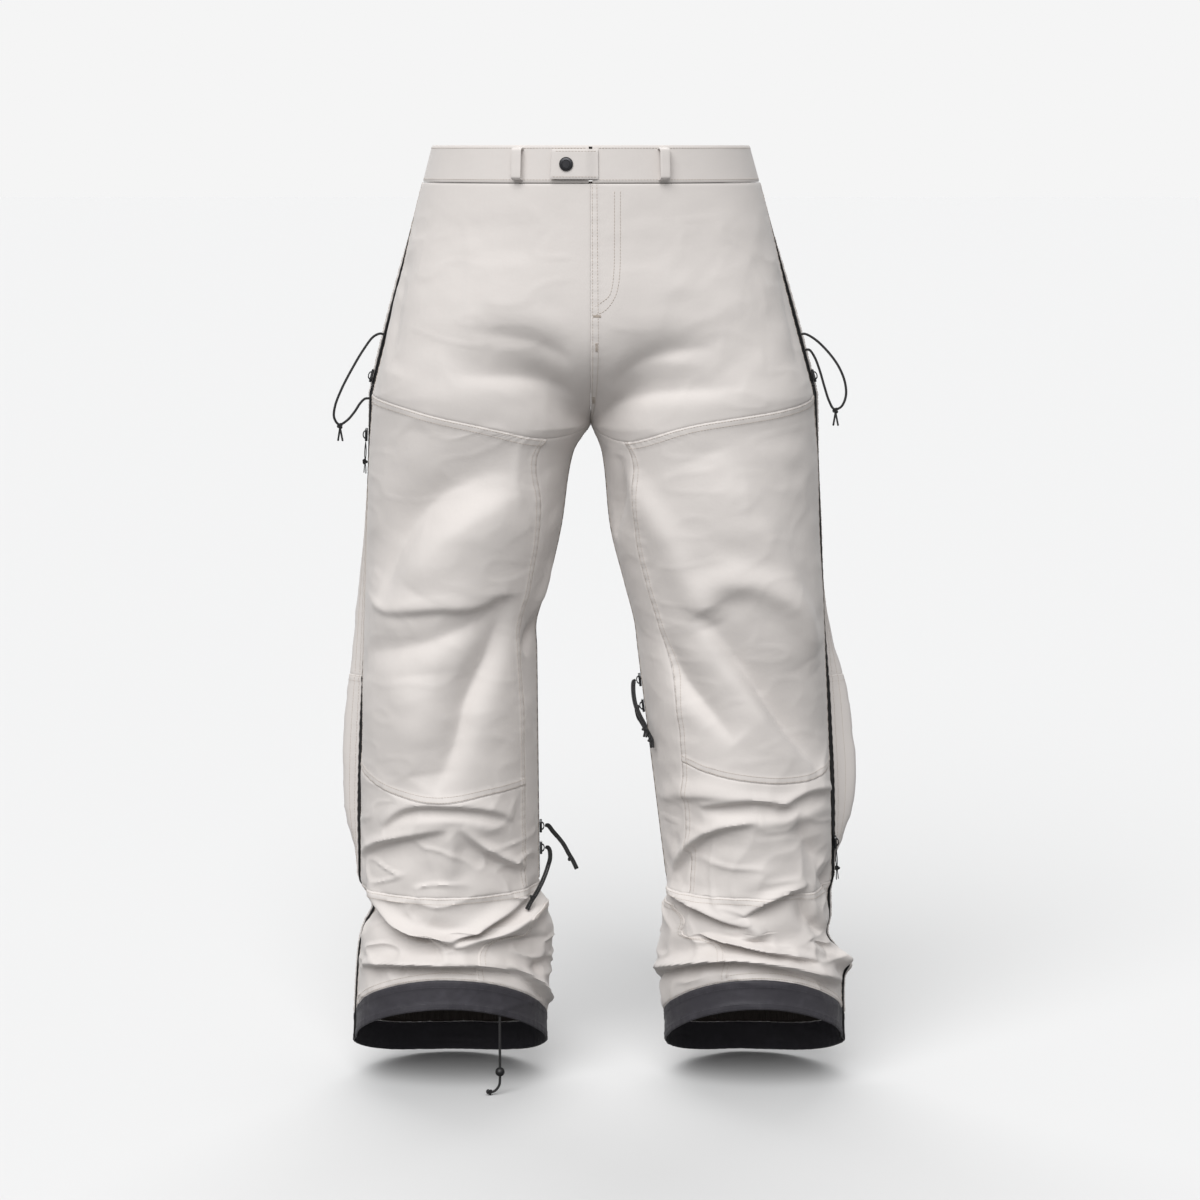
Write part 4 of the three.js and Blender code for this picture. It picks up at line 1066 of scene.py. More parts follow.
# ---------------------------------------------------------------- cords
HIP_CORDS = {
    RIGHT: [(-215.9, -13.6, -195.8), (-220.1, -14, -194.9), (-227, -17, -198), (-237, -22, -211),
            (-249, -26, -231), (-260, -28, -252), (-267, -28, -270), (-268, -27, -282), (-263, -26, -289),
            (-255, -24.5, -285), (-247, -22.5, -276), (-241, -21.6, -267), (-236, -21.2, -262.4),
            (-231.3, -20.6, -262)],
    LEFT: [(219, -13.6, -195.8), (223.1, -14, -195.1), (233, -17, -200), (246, -21, -212), (258, -24, -228),
           (265, -25, -245), (266, -25, -260), (261, -24, -271), (254, -23, -273), (249, -22, -265),
           (244, -20.5, -250), (239, -18.5, -233), (233.5, -17, -219), (228, -16, -211.7),
           (223.2, -15.4, -211.8)],
}
VENT_CORDS = {
    (RIGHT, "upper"): [(-49.4, 9.4, -723.9), (-46.6, 9, -724.6), (-42, 7, -730), (-35.5, 4, -737),
                       (-30, 2, -744), (-25, 0, -753), (-20.5, -1, -760.5), (-16.5, -2, -769)],
    (RIGHT, "lower"): [(-49.2, 9.9, -747.9), (-46.6, 9.2, -749), (-45, 3, -756), (-47.5, -7, -765),
                       (-52, -19, -775.5), (-58, -30, -786), (-65, -38, -796), (-69, -42, -803)],
    (LEFT, "upper"): [(47.3, 6.3, -564.8), (44.8, 5.4, -565.6), (43.8, -2, -574), (46, -14, -588),
                      (51, -24, -599), (55.5, -30, -607), (57, -33, -613), (56, -34, -619)],
    (LEFT, "lower"): [(50.8, 6.8, -592.8), (48.4, 5.4, -593.6), (49.5, -6, -602), (55, -20, -610),
                      (60, -30, -617), (63, -35, -623), (63.5, -37, -630)],
}
HEM_CORD = [(-97, -56.7, -916.3), (-97, -57, -925), (-97, -57.3, -940), (-97, -57.5, -955),
            (-97, -57.5, -970), (-97, -57.5, -984), (-98, -57.5, -992), (-103, -58, -998), (-110, -59, -999)]


def route(points, per_span=8):
    """A centripetal curve through the points, as the CAD cords follow."""
    p = np.asarray(points, float)
    p = np.vstack([2 * p[0] - p[1], p, 2 * p[-1] - p[-2]])
    out = []
    for a, b, c, d in zip(p[:-3], p[1:-2], p[2:-1], p[3:]):
        ta, tb, tc = [max(np.linalg.norm(q - r), 1e-6) ** 0.5 for q, r in ((b, a), (c, b), (d, c))]
        start = ((b - a) / ta - (c - a) / (ta + tb) + (c - b) / tb) * tb
        end = ((c - b) / tb - (d - b) / (tb + tc) + (d - c) / tc) * tb
        t = np.linspace(0, 1, per_span, endpoint=False)[:, None]
        out.append((2 * t ** 3 - 3 * t ** 2 + 1) * b + (t ** 3 - 2 * t ** 2 + t) * start
                   + (3 * t ** 2 - 2 * t ** 3) * c + (t ** 3 - t ** 2) * end)
    return np.vstack(out + [p[-2:-1]])


def knot(name, centre, along, radius, finish_name="braided_cord"):
    """A small overhand knot drawn tight round a cord."""
    t = np.linspace(0, 2 * math.pi, 72, endpoint=False)
    size = radius * 0.92
    loops = np.stack([np.sin(t) + 2 * np.sin(2 * t), np.cos(t) - 2 * np.cos(2 * t), -1.5 * np.sin(3 * t)], -1)
    loops = loops * size * 0.62
    way = unit(np.asarray(along, float))
    side = unit(np.cross(way, (0.1, 1, 0.2)))
    up = np.cross(way, side)
    path = np.asarray(centre, float) + loops[:, :1] * way + loops[:, 1:2] * side + loops[:, 2:] * up
    return tube(name, path, radius * 0.82, finish(finish_name), 9, closed=True)


def beside(path, amount):
    """The path moved sideways by that many millimetres, from nothing at its start."""
    t = unit(np.gradient(path, axis=0))
    sideways = unit(np.cross(t, (0.2, 1, 0.1)))
    return path + sideways * amount * np.minimum(np.linspace(0, 6, len(path)), 1)[:, None]


class SKIPANTS_OT_cords(bpy.types.Operator):
    """Lays the hip loops, the inner leg pulls and the hem drawcord, with their knots"""
    bl_idname = "skipants.cords"
    bl_label = "Cords"

    def lay(self, name, points, diameter, body, far_end, extras, nodes=()):
        """Makes a cord. The extras are its own knots and tails, and the nodes, CAD pieces on it, are not used."""
        path = route(points)
        piece = tube(f"{name}_braid", path, diameter / 2, finish("braided_cord"), 14)
        settle(piece, body, "cord", name)
        for extra in extras:
            settle(extra, body, "cord")

    def hip_loop(self, side, word, diameter):
        """A loop at the hip, with a knot and two tails at its lowest point."""
        name, thin = f"hip_cord_{word}", diameter / 2
        path = route(HIP_CORDS[side])
        foot = path[int(np.argmin(path[:, 2]))]
        extras = [knot(f"{name}_knot", foot + (0, 0, -1.5), (0.1, 0, -1), thin * 1.05)]
        for k, lean in enumerate((-0.25, 0.3)):
            tail = foot + np.outer(np.linspace(0, 1, 12), (lean * 9, -1.5 * k, -14)) + (0, 0, -3)
            extras.append(tube(f"{name}_tail_{k + 1}", tail, thin * 0.8, finish("braided_cord"), 10))
        self.lay(name, HIP_CORDS[side], diameter, "pants", "object", extras)

    def vent_pull(self, side, word, which, diameter):
        """A doubled cord on a vent slider, with a knot near its end and, on most, a sleeve."""
        name, thin = f"vent_{which}_cord_{word}", diameter / 2
        path = route(VENT_CORDS[side, which])
        cut = int(len(path) * 0.8)
        extras = [knot(f"{name}_knot", path[cut], path[cut + 1] - path[cut], thin * 1.05),
                  tube(f"{name}_strand", beside(path, diameter * 0.95), thin * 0.85, finish("braided_cord"), 10)]
        if side == RIGHT or which == "lower":
            sleeve = beside(path[4:int(len(path) * 0.42)], diameter * 0.4)
            extras.append(tube(f"{name}_sleeve", sleeve, thin * 2.0, finish("webbing"), 14, squash=0.7))
        self.lay(name, VENT_CORDS[side, which], diameter, f"vent_{which}_slider_{word}", "knot", extras)

    def execute(self, context):
        size = context.scene.ski_pants_sizes
        for side, word in SIDES.items():
            self.hip_loop(side, word, size.cord)
            for which in ("upper", "lower"):
                self.vent_pull(side, word, which, size.cord)
        end = route(HEM_CORD)[-1]
        extras = [knot("hem_cord_knot", end + (1.5, 0, 0.4), (1, 0, 0.2), size.hem_cord * 0.5)]
        self.lay("hem_cord", HEM_CORD, size.hem_cord, "pants", "knot", extras, [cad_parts["ball_lock"]])
        return {"FINISHED"}


# ---------------------------------------------------------------- legs
def inseam_half(drop):
    return ZIP_HALF_U * ramp(drop, CROTCH_DROP, CROTCH_DROP + ZIP_START_DROP)


def level(value):
    """A seam line that stays at one u or one drop."""
    return lambda at: np.full(np.shape(at), float(value))


def yoke_end(u):
    """The drop of the yoke's lower seam, which dips towards the centre of the back."""
    return mix(76, 98, (u - 0.5) / 0.5)


HALF_SEAM_U = 0.00004  # half the gap at an upright seam
EDGE_GAP = 0.02  # half the gap at a level seam, in millimetres
CENTRE_SEAM_U = 0.0001


def leg_panels(side):
    """The cut of one leg: every panel's edges, and the edges that are topstitched."""
    centre = level(CENTRE_SEAM_U)
    front_zip, back_zip = level(0.5 - ZIP_HALF_U - HALF_SEAM_U), level(0.5 + ZIP_HALF_U + HALF_SEAM_U)
    inner = lambda drop: through(INNER_SEAM[side], drop)
    knee_top = lambda u: through(KNEE_TOP[side], u)
    knee_end = lambda u: through(KNEE_END[side], u)
    calf = CALF_SEAM_DROP
    return {
        "front_thigh": Panel(side, centre, front_zip, level(WAISTBAND_DROP + GAP),
                             lambda u: knee_top(u) - EDGE_GAP, "LR" if side == LEFT else "R"),
        "knee_panel": Panel(side, lambda d: inner(d) + HALF_SEAM_U, front_zip,
                            lambda u: knee_top(u) + EDGE_GAP, lambda u: knee_end(u) - EDGE_GAP, "LTRB"),
        "shin_panel": Panel(side, lambda d: inner(d) + HALF_SEAM_U, front_zip,
                            lambda u: knee_end(u) + EDGE_GAP, level(calf - EDGE_GAP), "LR"),
        "inner_leg_panel": Panel(side, lambda d: inseam_half(d) + HALF_SEAM_U,
                                 lambda d: inner(d) - HALF_SEAM_U, lambda u: knee_top(u) + EDGE_GAP,
                                 level(calf - EDGE_GAP), "L"),
        "back_thigh": Panel(side, back_zip, lambda d: 1 - inseam_half(d) - HALF_SEAM_U,
                            lambda u: yoke_end(u) + EDGE_GAP, level(BACK_KNEE_DROP - EDGE_GAP), "LTR"),
        "calf_panel": Panel(side, back_zip, level(1 - ZIP_HALF_U - HALF_SEAM_U),
                            level(BACK_KNEE_DROP + EDGE_GAP), level(calf - EDGE_GAP), "LTR"),
        "lower_leg": Panel(side, back_zip, level(1.5 - ZIP_HALF_U - HALF_SEAM_U), level(calf + EDGE_GAP),
                           level(HEM_BAND_DROP - EDGE_GAP), "LTRB"),
    }


def each_leg():
    for side, word in SIDES.items():
        yield side, word, leg_panels(side)


FINE_STEP = 0.72  # of the mesh step, where the folds are close


class SKIPANTS_OT_legs(bpy.types.Operator):
    """Makes the cloth panels of both legs"""
    bl_idname = "skipants.legs"
    bl_label = "Leg panels"

    def execute(self, context):
        size = context.scene.ski_pants_sizes
        step = size.step * 1
        for side, word, panels in each_leg():
            for part, panel in panels.items():
                name = f"{part}_{word}"
                fine = FINE_STEP if part in ("lower_leg", "shin_panel") else 1.0
                finishes = [finish("shell_cloth"), finish("inner_lining")]
                piece = panel.build(f"{name}_cloth", finishes, step * fine, size.cloth)
                settle(piece, "pants", "shell", name)
                width, length, area = panel.cut()
        return {"FINISHED"}


# ---------------------------------------------------------------- waist and seat
def around_waist(w, drop, lift):
    """w runs round the waist: -1 front, -0.5 right hip, 0 back, 0.5 left hip, 1 front again."""
    w, drop = np.broadcast_arrays(np.asarray(w, float), np.asarray(drop, float))
    u = 1 - np.abs(w)
    return np.where((w < 0)[..., None], drape(RIGHT, u, drop, lift), drape(LEFT, u, drop, lift))


def waist_normal(w, drop):
    w, drop = np.broadcast_arrays(np.asarray(w, float), np.asarray(drop, float))
    u = 1 - np.abs(w)
    return np.where((w < 0)[..., None], base_normal(RIGHT, u, drop), base_normal(LEFT, u, drop))


def across_front(f, drop, lift):
    """f runs across the front centre: negative on the right leg's side."""
    f, drop = np.broadcast_arrays(np.asarray(f, float), np.asarray(drop, float))
    lift = np.broadcast_to(np.asarray(lift, float), f.shape)
    u = np.abs(f)
    right = base_point(RIGHT, u, drop) + base_normal(RIGHT, u, drop) * lift[..., None]
    left = base_point(LEFT, u, drop) + base_normal(LEFT, u, drop) * lift[..., None]
    return np.where((f < 0)[..., None], right, left)


def flat_uv(across, down):
    return np.stack(np.broadcast_arrays(across, down), -1) * MM


WAIST_SLIT_U = 0.0035
WAISTBAND_CLOTH = 2.4
GATHERS = 96  # waves of the elastic along each half of the waist
YOKE_CLOTH, YOKE_HEIGHT = 1.2, 50
TAB_U = (0.014, -0.074)
TAB_DROPS = (4, 34)
TAB_LIFTS = (0.5, 3.3)
TAB_CLOTH = FLAP_CLOTH = 1.1
TAB_SEAT = 1.8  # from the waistband to the outer side of the tab's root
FLAP_U = (0.702, 0.894)
FLAP_TOP, FLAP_END, FLAP_POINT = 112, 160, 6
FLAP_LIFT, FLAP_STEP = 2.2, 2.5
BAG_DEPTH, BAG_CLOTH = 3.4, 0.9
TAB_ROOT, FLAP_BEND = 8.5, 12
# Points at the roots of the tab and the flap, and points further out along them, in metres.
SEWN_ROOTS = {"closure": ((TAB_ROOT * MM, 0, 0), (0, 0, 0)),
              "back_pocket_flap": ((0, 0, -FLAP_TOP * MM), (0, 0, -(FLAP_TOP + FLAP_BEND) * MM))}
LOOPS = {"front_right": (RIGHT, 0.14), "front_left": (LEFT, 0.14), "back_right": (RIGHT, 0.85),
         "back_left": (LEFT, 0.85), "centre": (LEFT, 1.0)}
LOOP_PROFILE = [(0.9, 16), (4, 16.4), (8.4, 14.6), (9.2, 10), (9.2, 0), (9.2, -10), (8.4, -14.6), (4, -16.4),
                (0.9, -16)]
LOOP_HALF_WIDTH, LOOP_CLOTH = 5, 1.3


def edge_lift(share, size):
    """Rolled edges on a strip of that width, in millimetres."""
    return -0.9 * (np.exp(-(share * size / 0.9) ** 2) + np.exp(-((1 - share) * size / 0.9) ** 2))


def tab_rise(f):
    """How far the tab's cloth stands off the waistband, in millimetres."""
    return mix(*TAB_LIFTS, smooth(ramp(-f, -TAB_U[0], 0.012))) + TAB_SEAT


def flap_panel():
    end = lambda u: FLAP_END + FLAP_POINT * np.sin(np.pi * ramp(u, *FLAP_U))
    return Panel(RIGHT, level(FLAP_U[0]), level(FLAP_U[1]), level(FLAP_TOP), end, "LRTB")


class SKIPANTS_OT_waist(bpy.types.Operator):
    """Makes the waistband, seat yoke, belt loops, closure tab, back flap and pocket bags"""
    bl_idname = "skipants.waist"
    bl_label = "Waist and seat"

    def band(self, shell):
        half = 1 - WAIST_SLIT_U
        height = WAISTBAND_DROP - GAP
        w, drop = np.meshgrid(np.linspace(-half, half, 420), edge_steps(height, 3) * height)
        share = drop / height
        gather = 0.35 * np.sin(w * 2 * math.pi * GATHERS + 2 * np.sin(w * 31))
        gather = gather * smooth((0.42 - np.abs(w)) / 0.1)
        uneven = 0.15 * value_noise(np.stack([w * ROUND, drop, w * 0], -1) + 500, 21)
        lift = edge_lift(share, WAISTBAND_DROP) + gather * np.sin(np.pi * share) + uneven
        points = around_waist(w, drop, lift)
        points[..., 2] = -drop
        piece = cloth("waistband_cloth", points, waist_normal(w, drop), [shell, finish("inner_lining")],
                      flat_uv(w * ROUND, -drop), WAISTBAND_CLOTH)
        settle(piece, "pants", "shell", "waistband")

    def yoke(self, shell):
        reach = 0.5 - ZIP_HALF_U - HALF_SEAM_U
        top = WAISTBAND_DROP + GAP
        w, t = np.meshgrid(np.linspace(-reach, reach, 190), edge_steps(YOKE_HEIGHT, 3))
        drop = mix(top, yoke_end(1 - np.abs(w)) - EDGE_GAP, t)
        edge = np.minimum(t, 1 - t) * YOKE_HEIGHT
        lift = roll(edge, 0.6, w * ROUND, 0.4)
        piece = cloth("seat_yoke_cloth", around_waist(w, drop, lift), waist_normal(w, drop),
                      [shell, finish("inner_lining")], flat_uv(w * ROUND, -drop), YOKE_CLOTH)
        settle(piece, "pants", "shell", "seat_yoke")

    def loops(self, shell):
        for word, (side, u) in LOOPS.items():
            middle = base_point(side, u, WAISTBAND_DROP / 2)
            out = base_normal(side, np.array(u), np.array(WAISTBAND_DROP / 2.0))
            across = unit(np.cross((0, 0, 1), out))
            up = np.cross(out, across)
            profile = smooth_line(LOOP_PROFILE, 8)
            width = np.linspace(-LOOP_HALF_WIDTH, LOOP_HALF_WIDTH, 9)
            rolled = 0.35 * (np.abs(width) > LOOP_HALF_WIDTH - 0.6)
            points = (middle + profile[:, None, :1] * out + profile[:, None, 1:] * up
                      + width[None, :, None] * across - rolled[None, :, None] * out)
            outward = np.broadcast_to(out, points.shape) + profile[:, None, 1:] / LOOP_PROFILE[0][1] * up
            run = np.cumsum(np.linalg.norm(np.diff(profile, axis=0, prepend=profile[:1]), axis=1))
            uvs = flat_uv(width[None], run[:, None])
            piece = cloth(f"belt_loop_{word}_strap", points, outward, [shell], uvs, LOOP_CLOTH)
            settle(piece, "pants", "shell", f"belt_loop_{word}")

    def tab(self, shell):
        f, t = np.meshgrid(np.linspace(*TAB_U, 44), np.linspace(0, 1, 17))
        drop = mix(*TAB_DROPS, t)
        end = np.exp(-((f - TAB_U[1]) * ROUND / 1.2) ** 2)
        lift = tab_rise(f) + edge_lift(t, TAB_DROPS[1] - TAB_DROPS[0]) * 0.8 - 0.7 * end
        u = np.abs(f)
        normal = np.where((f < 0)[..., None], base_normal(RIGHT, u, drop), base_normal(LEFT, u, drop))
        piece = cloth("closure_tab_cloth", across_front(f, drop, lift), normal, [shell],
                      flat_uv(f * ROUND, -drop), TAB_CLOTH)
        settle(piece, "closure", "shell", "closure_tab")

    def flap(self, shell):
        piece = flap_panel().build("back_pocket_flap_cloth", [shell], FLAP_STEP, FLAP_CLOTH, FLAP_LIFT)
        settle(piece, "back_pocket_flap", "shell", "back_pocket_flap")

    def bags(self):
        for side, word in SIDES.items():
            end = lambda u: mix(262, 246, smooth(ramp(u, 0.3, 0.47)))
            u, t = np.meshgrid(np.linspace(0.306, 0.464, 34), np.linspace(0, 1, 60))
            drop = mix(70, end(u), t)
            lift = -BAG_DEPTH + 0.5 * value_noise(base_point(side, u, drop) + 700, 24)
            points = drape(side, u, drop, lift)
            piece = cloth(f"pocket_bag_{word}_cloth", points, base_normal(side, u, drop),
                          [finish("inner_lining")], flat_uv(u * ROUND, -drop), BAG_CLOTH)
            settle(piece, "pants", "lining", f"pocket_bag_{word}")

    def execute(self, context):
        shell = finish("shell_cloth")
        self.band(shell)
        self.yoke(shell)
        self.loops(shell)
        self.tab(shell)
        self.flap(shell)
        self.bags()
        return {"FINISHED"}


# ---------------------------------------------------------------- hems
GAITER_DROPS = (806, 958)
GAITER_DEPTHS = [(0, 2.9), (0.25, 8), (0.5, 16.8), (0.75, 24), (1, 24)]
KICK_EDGE = [(783, 1.03), (806, 1.05), (824, 1.106), (862, 1.112), (890, 1.17), (930, 1.2), (968, 1.2)]


class SKIPANTS_OT_hems(bpy.types.Operator):
    """Makes the hem bands, kick patches and snow gaiters"""
    bl_idname = "skipants.hems"
    bl_label = "Hems"

    def execute(self, context):
        coarse = 1
        for side, word in SIDES.items():
            band = hem_panel(side)
            piece = band.build(f"hem_band_{word}_cloth", [finish("hem_band_cloth")], 2.6 * coarse, 1.6, 0.25)
            settle(piece, "pants", "black_fabric", f"hem_band_{word}")
            width, length, area = band.cut()
            patch = kick_panel(side)
            piece = patch.build(f"kick_patch_{word}_cloth", [finish("shell_cloth")], 3 * coarse, 0.8, 1.0)
            settle(piece, "pants", "shell", f"kick_patch_{word}")
            u, t = np.meshgrid(np.linspace(0.5, 1.5, 241), np.linspace(0, 1, 72))
            drop = mix(*GAITER_DROPS, t)
            elastic = smooth((t - 0.72) / 0.1)
            gather = 1.3 * np.sin(u * 2 * math.pi * 62 + 1.5 * np.sin(u * 37)) * elastic
            uneven = value_noise(base_point(side, u, drop) + 300, 33) * (1 - elastic)
            lift = -through(GAITER_DEPTHS, t) + gather + uneven
            lift = np.minimum(lift, relief(side, u % 1.0, drop) - 3.4)
            points = base_point(side, u, drop) + base_normal(side, u, drop) * lift[..., None]
            points[..., 0] += side * puff(side, u, drop)
            piece = cloth(f"gaiter_{word}_cloth", points, base_normal(side, u, drop), [finish("inner_lining")],
                          flat_uv(u * ROUND, -drop), 1.0)
            settle(piece, "pants", "lining", f"gaiter_{word}")
        return {"FINISHED"}


def hem_panel(side):
    return Panel(side, level(0.5 + ZIP_HALF_U + HALF_SEAM_U), level(1.5 - ZIP_HALF_U - HALF_SEAM_U),
                 level(HEM_BAND_DROP + EDGE_GAP), level(LENGTH), "TB")


def kick_panel(side):
    return Panel(side, level(0.85), lambda drop: through(KICK_EDGE, drop), level(807),
                 level(HEM_BAND_DROP - 1.5), "LRT")


# ---------------------------------------------------------------- zips
def tooth_shape():
    """One tooth, a bevelled block drawn out to a nose, as its points in millimetres and its faces."""
    deselect()
    bpy.ops.mesh.primitive_cube_add(size=1, location=(0, 0, 0))
    tooth = bpy.context.object
    bpy.ops.object.mode_set(mode="EDIT")
    bpy.ops.mesh.select_all(action="DESELECT")
    bpy.ops.mesh.select_mode(type="FACE")
    bpy.ops.object.mode_set(mode="OBJECT")
    for face in tooth.data.polygons:
        face.select = face.normal.x > 0.9
    bpy.ops.object.mode_set(mode="EDIT")
    bpy.ops.transform.resize(value=(1, 0.62, 0.72))
    bpy.ops.object.mode_set(mode="OBJECT")
    bevel = tooth.modifiers.new("edges", "BEVEL")
    bevel.width = 0.13
    bevel.segments = 1
    bpy.ops.object.modifier_apply(modifier=bevel.name)
    points = np.array([v.co for v in tooth.data.vertices])
    tooth.data.calc_loop_triangles()
    faces = np.array([t.vertices for t in tooth.data.loop_triangles])
    bpy.data.meshes.remove(tooth.data)
    return points, faces


TOOTH_SIZE = (2.7, 1.0, 0.85)


def teeth(name, points, normals, pitch, body, slot):
    """Two rows of teeth, set between each other along a line."""
    shape, faces = tooth_shape()
    p, n = evenly(points, normals, pitch / 2)
    t = unit(np.gradient(p, axis=0))
    across = np.cross(n, t)
    way = np.where(np.arange(len(p)) % 2, 1.0, -1.0)[:, None]
    local = shape * TOOTH_SIZE
    verts = (p[:, None] - across[:, None] * way[:, None] * (0.75 - local[None, :, :1])
             + t[:, None] * local[None, :, 1:2] * way[:, None] + n[:, None] * (local[None, :, 2:] + 0.38))
    grid = faces[None] + (np.arange(len(p)) * len(shape))[:, None, None]
    piece = mesh_piece(name, verts.reshape(-1, 3), grid.reshape(-1, 3), [finish("zip_teeth")])
    piece.data.polygons.foreach_set("use_smooth", np.zeros(len(piece.data.polygons), bool))
    return settle(piece, body, slot)


ZIPS = {"pocket_zip": (0.5, 38.4, 249.6), "side_zip": (0.5, 250.8, 1000.0), "vent_zip": (0.0, 306.0, 782.6)}
TAPE_PROFILE = [(-1.28, -2.9), (-1.02, -2.1), (-0.86, -0.75), (-0.45, -0.45), (0, -0.45), (0.45, -0.45),
                (0.86, -0.75), (1.02, -2.1), (1.28, -2.9)]


class SKIPANTS_OT_zips(bpy.types.Operator):
    """Makes the zip tapes and teeth at the hips, side seams, inner legs and fly"""
    bl_idname = "skipants.zips"
    bl_label = "Zips"

    def execute(self, context):
        pitch = context.scene.ski_pants_sizes.tooth_pitch * 1
        tape = finish("zip_tape_cloth")
        for side, word in SIDES.items():
            for part, (centre, start, end) in ZIPS.items():
                profile = np.array(TAPE_PROFILE)
                rows = np.linspace(start, end, int((end - start) / 3))
                half = inseam_half(rows) if centre == 0 else np.full(len(rows), ZIP_HALF_U)
                u = centre + half[:, None] * profile[None, :, 0]
                drop = np.broadcast_to(rows[:, None], u.shape)
                lift = np.broadcast_to(profile[None, :, 1], u.shape)
                normal = base_normal(side, u, drop)
                piece = cloth(f"{part}_{word}_tape", drape(side, u % 1.0 if centre else u, drop, lift), normal, [tape],
                              flat_uv(profile[None, :, 0] * 6.2, -rows[:, None]), 0.5)
                settle(piece, "pants", "zip_tape", f"{part}_{word}")
                rows = np.linspace(start + 1, end - 1.5, 300)
                middle = np.full(300, float(centre))
                teeth(f"{part}_{word}_teeth", drape(side, middle, rows), base_normal(side, middle, rows), pitch,
                      "pants", "zip_tape")
        f, drop = np.meshgrid(np.linspace(-0.026, 0.026, 15), np.linspace(41, 156, 40))
        front = (0, -1, 0)
        piece = cloth("fly_zip_tape", across_front(f, drop, -9.2), front, [tape], flat_uv(f * ROUND, -drop), 0.6)
        settle(piece, "pants", "zip_tape", "fly_zip")
        rows = np.linspace(44, 153, 60)
        teeth("fly_zip_teeth", across_front(rows * 0, rows, -9.1), np.tile((0.0, -1.0, 0.0), (60, 1)), pitch, "pants",
              "zip_tape")
        f, drop = np.meshgrid(np.linspace(-0.046, 0.046, 41), np.linspace(41, 162, 40))
        depth = -mix(10.7, 2.9, smooth((np.abs(f) - 0.031) / 0.015))
        piece = cloth("fly_facing_cloth", across_front(f, drop, depth), front, [finish("inner_lining")],
                      flat_uv(f * ROUND, -drop), 1.0)
        settle(piece, "pants", "lining", "fly_facing")
        return {"FINISHED"}


# ---------------------------------------------------------------- pulls
SIDE_SLIDERS = {RIGHT: 302, LEFT: 742}
PULL_DROP, PULL_LIFT = 7.7, 4.0
STRAP_LENGTH = 34


class SKIPANTS_OT_pulls(bpy.types.Operator):
    """Makes the knotted webbing pulls of the side zips"""
    bl_idname = "skipants.pulls"
    bl_label = "Side zip pulls"

    def execute(self, context):
        for side, word in SIDES.items():
            drop = np.array(float(SIDE_SLIDERS[side] + PULL_DROP))
            half = np.array(0.5)
            out = base_normal(side, half, drop)
            start = base_point(side, half, drop) + out * PULL_LIFT
            up = unit(base_point(side, half, drop - 1) - base_point(side, half, drop + 1))
            across = np.cross(up, out)
            knot_at = STRAP_LENGTH * 0.62
            for k, shift in enumerate((-0.55, 0.55)):
                run = smooth_line([(0, 0, 2.2), (6, shift, 2.6), (13, shift * 1.3, 2.3), (knot_at - 2, shift * 0.6, 1.5),
                                   (knot_at + 2, shift * 0.6, 1.5), (28, shift * 1.5, 2.5),
                                   (STRAP_LENGTH - 0.5 - k, shift * 1.9, 2.8)], 6)
                edge = np.linspace(-1, 1, 7)
                points = (start - up * run[:, None, :1] + out * run[:, None, 1:2]
                          + across * (edge[None, :, None] * run[:, None, 2:]))
                uvs = flat_uv(edge[None] * 3, -run[:, :1])
                piece = cloth(f"side_pull_{word}_strap_{k + 1}", points, out * 1.0, [finish("webbing")], uvs, 0.7)
                if k:
                    settle(piece, f"side_pull_{word}", "webbing")
                else:
                    settle(piece, f"side_pull_{word}", "webbing", f"side_pull_{word}")
            piece = knot(f"side_pull_{word}_knot", start - up * knot_at, up, 1.25, "webbing")
            settle(piece, f"side_pull_{word}", "webbing")
        return {"FINISHED"}


# ---------------------------------------------------------------- stitching
J_STITCH = [(30, 46), (30, 90), (29.5, 125), (26, 148), (17, 163), (7, 169), (2, 169.5)]
BAR_TACKS = [(2.5, 171, 8, 0), (6, 198, 0, 9), (3, 256, 0, 8)]


def front_u(side, x, drop):
    """u of a point on the front of the hips at that distance from the centre."""
    low, high = np.zeros(np.shape(x)), np.full(np.shape(x), 0.25)
    for _ in range(30):
        middle = (low + high) / 2
        near = side * base_point(side, middle, drop)[..., 0] < x
        low, high = np.where(near, middle, low), np.where(near, high, middle)
    return middle


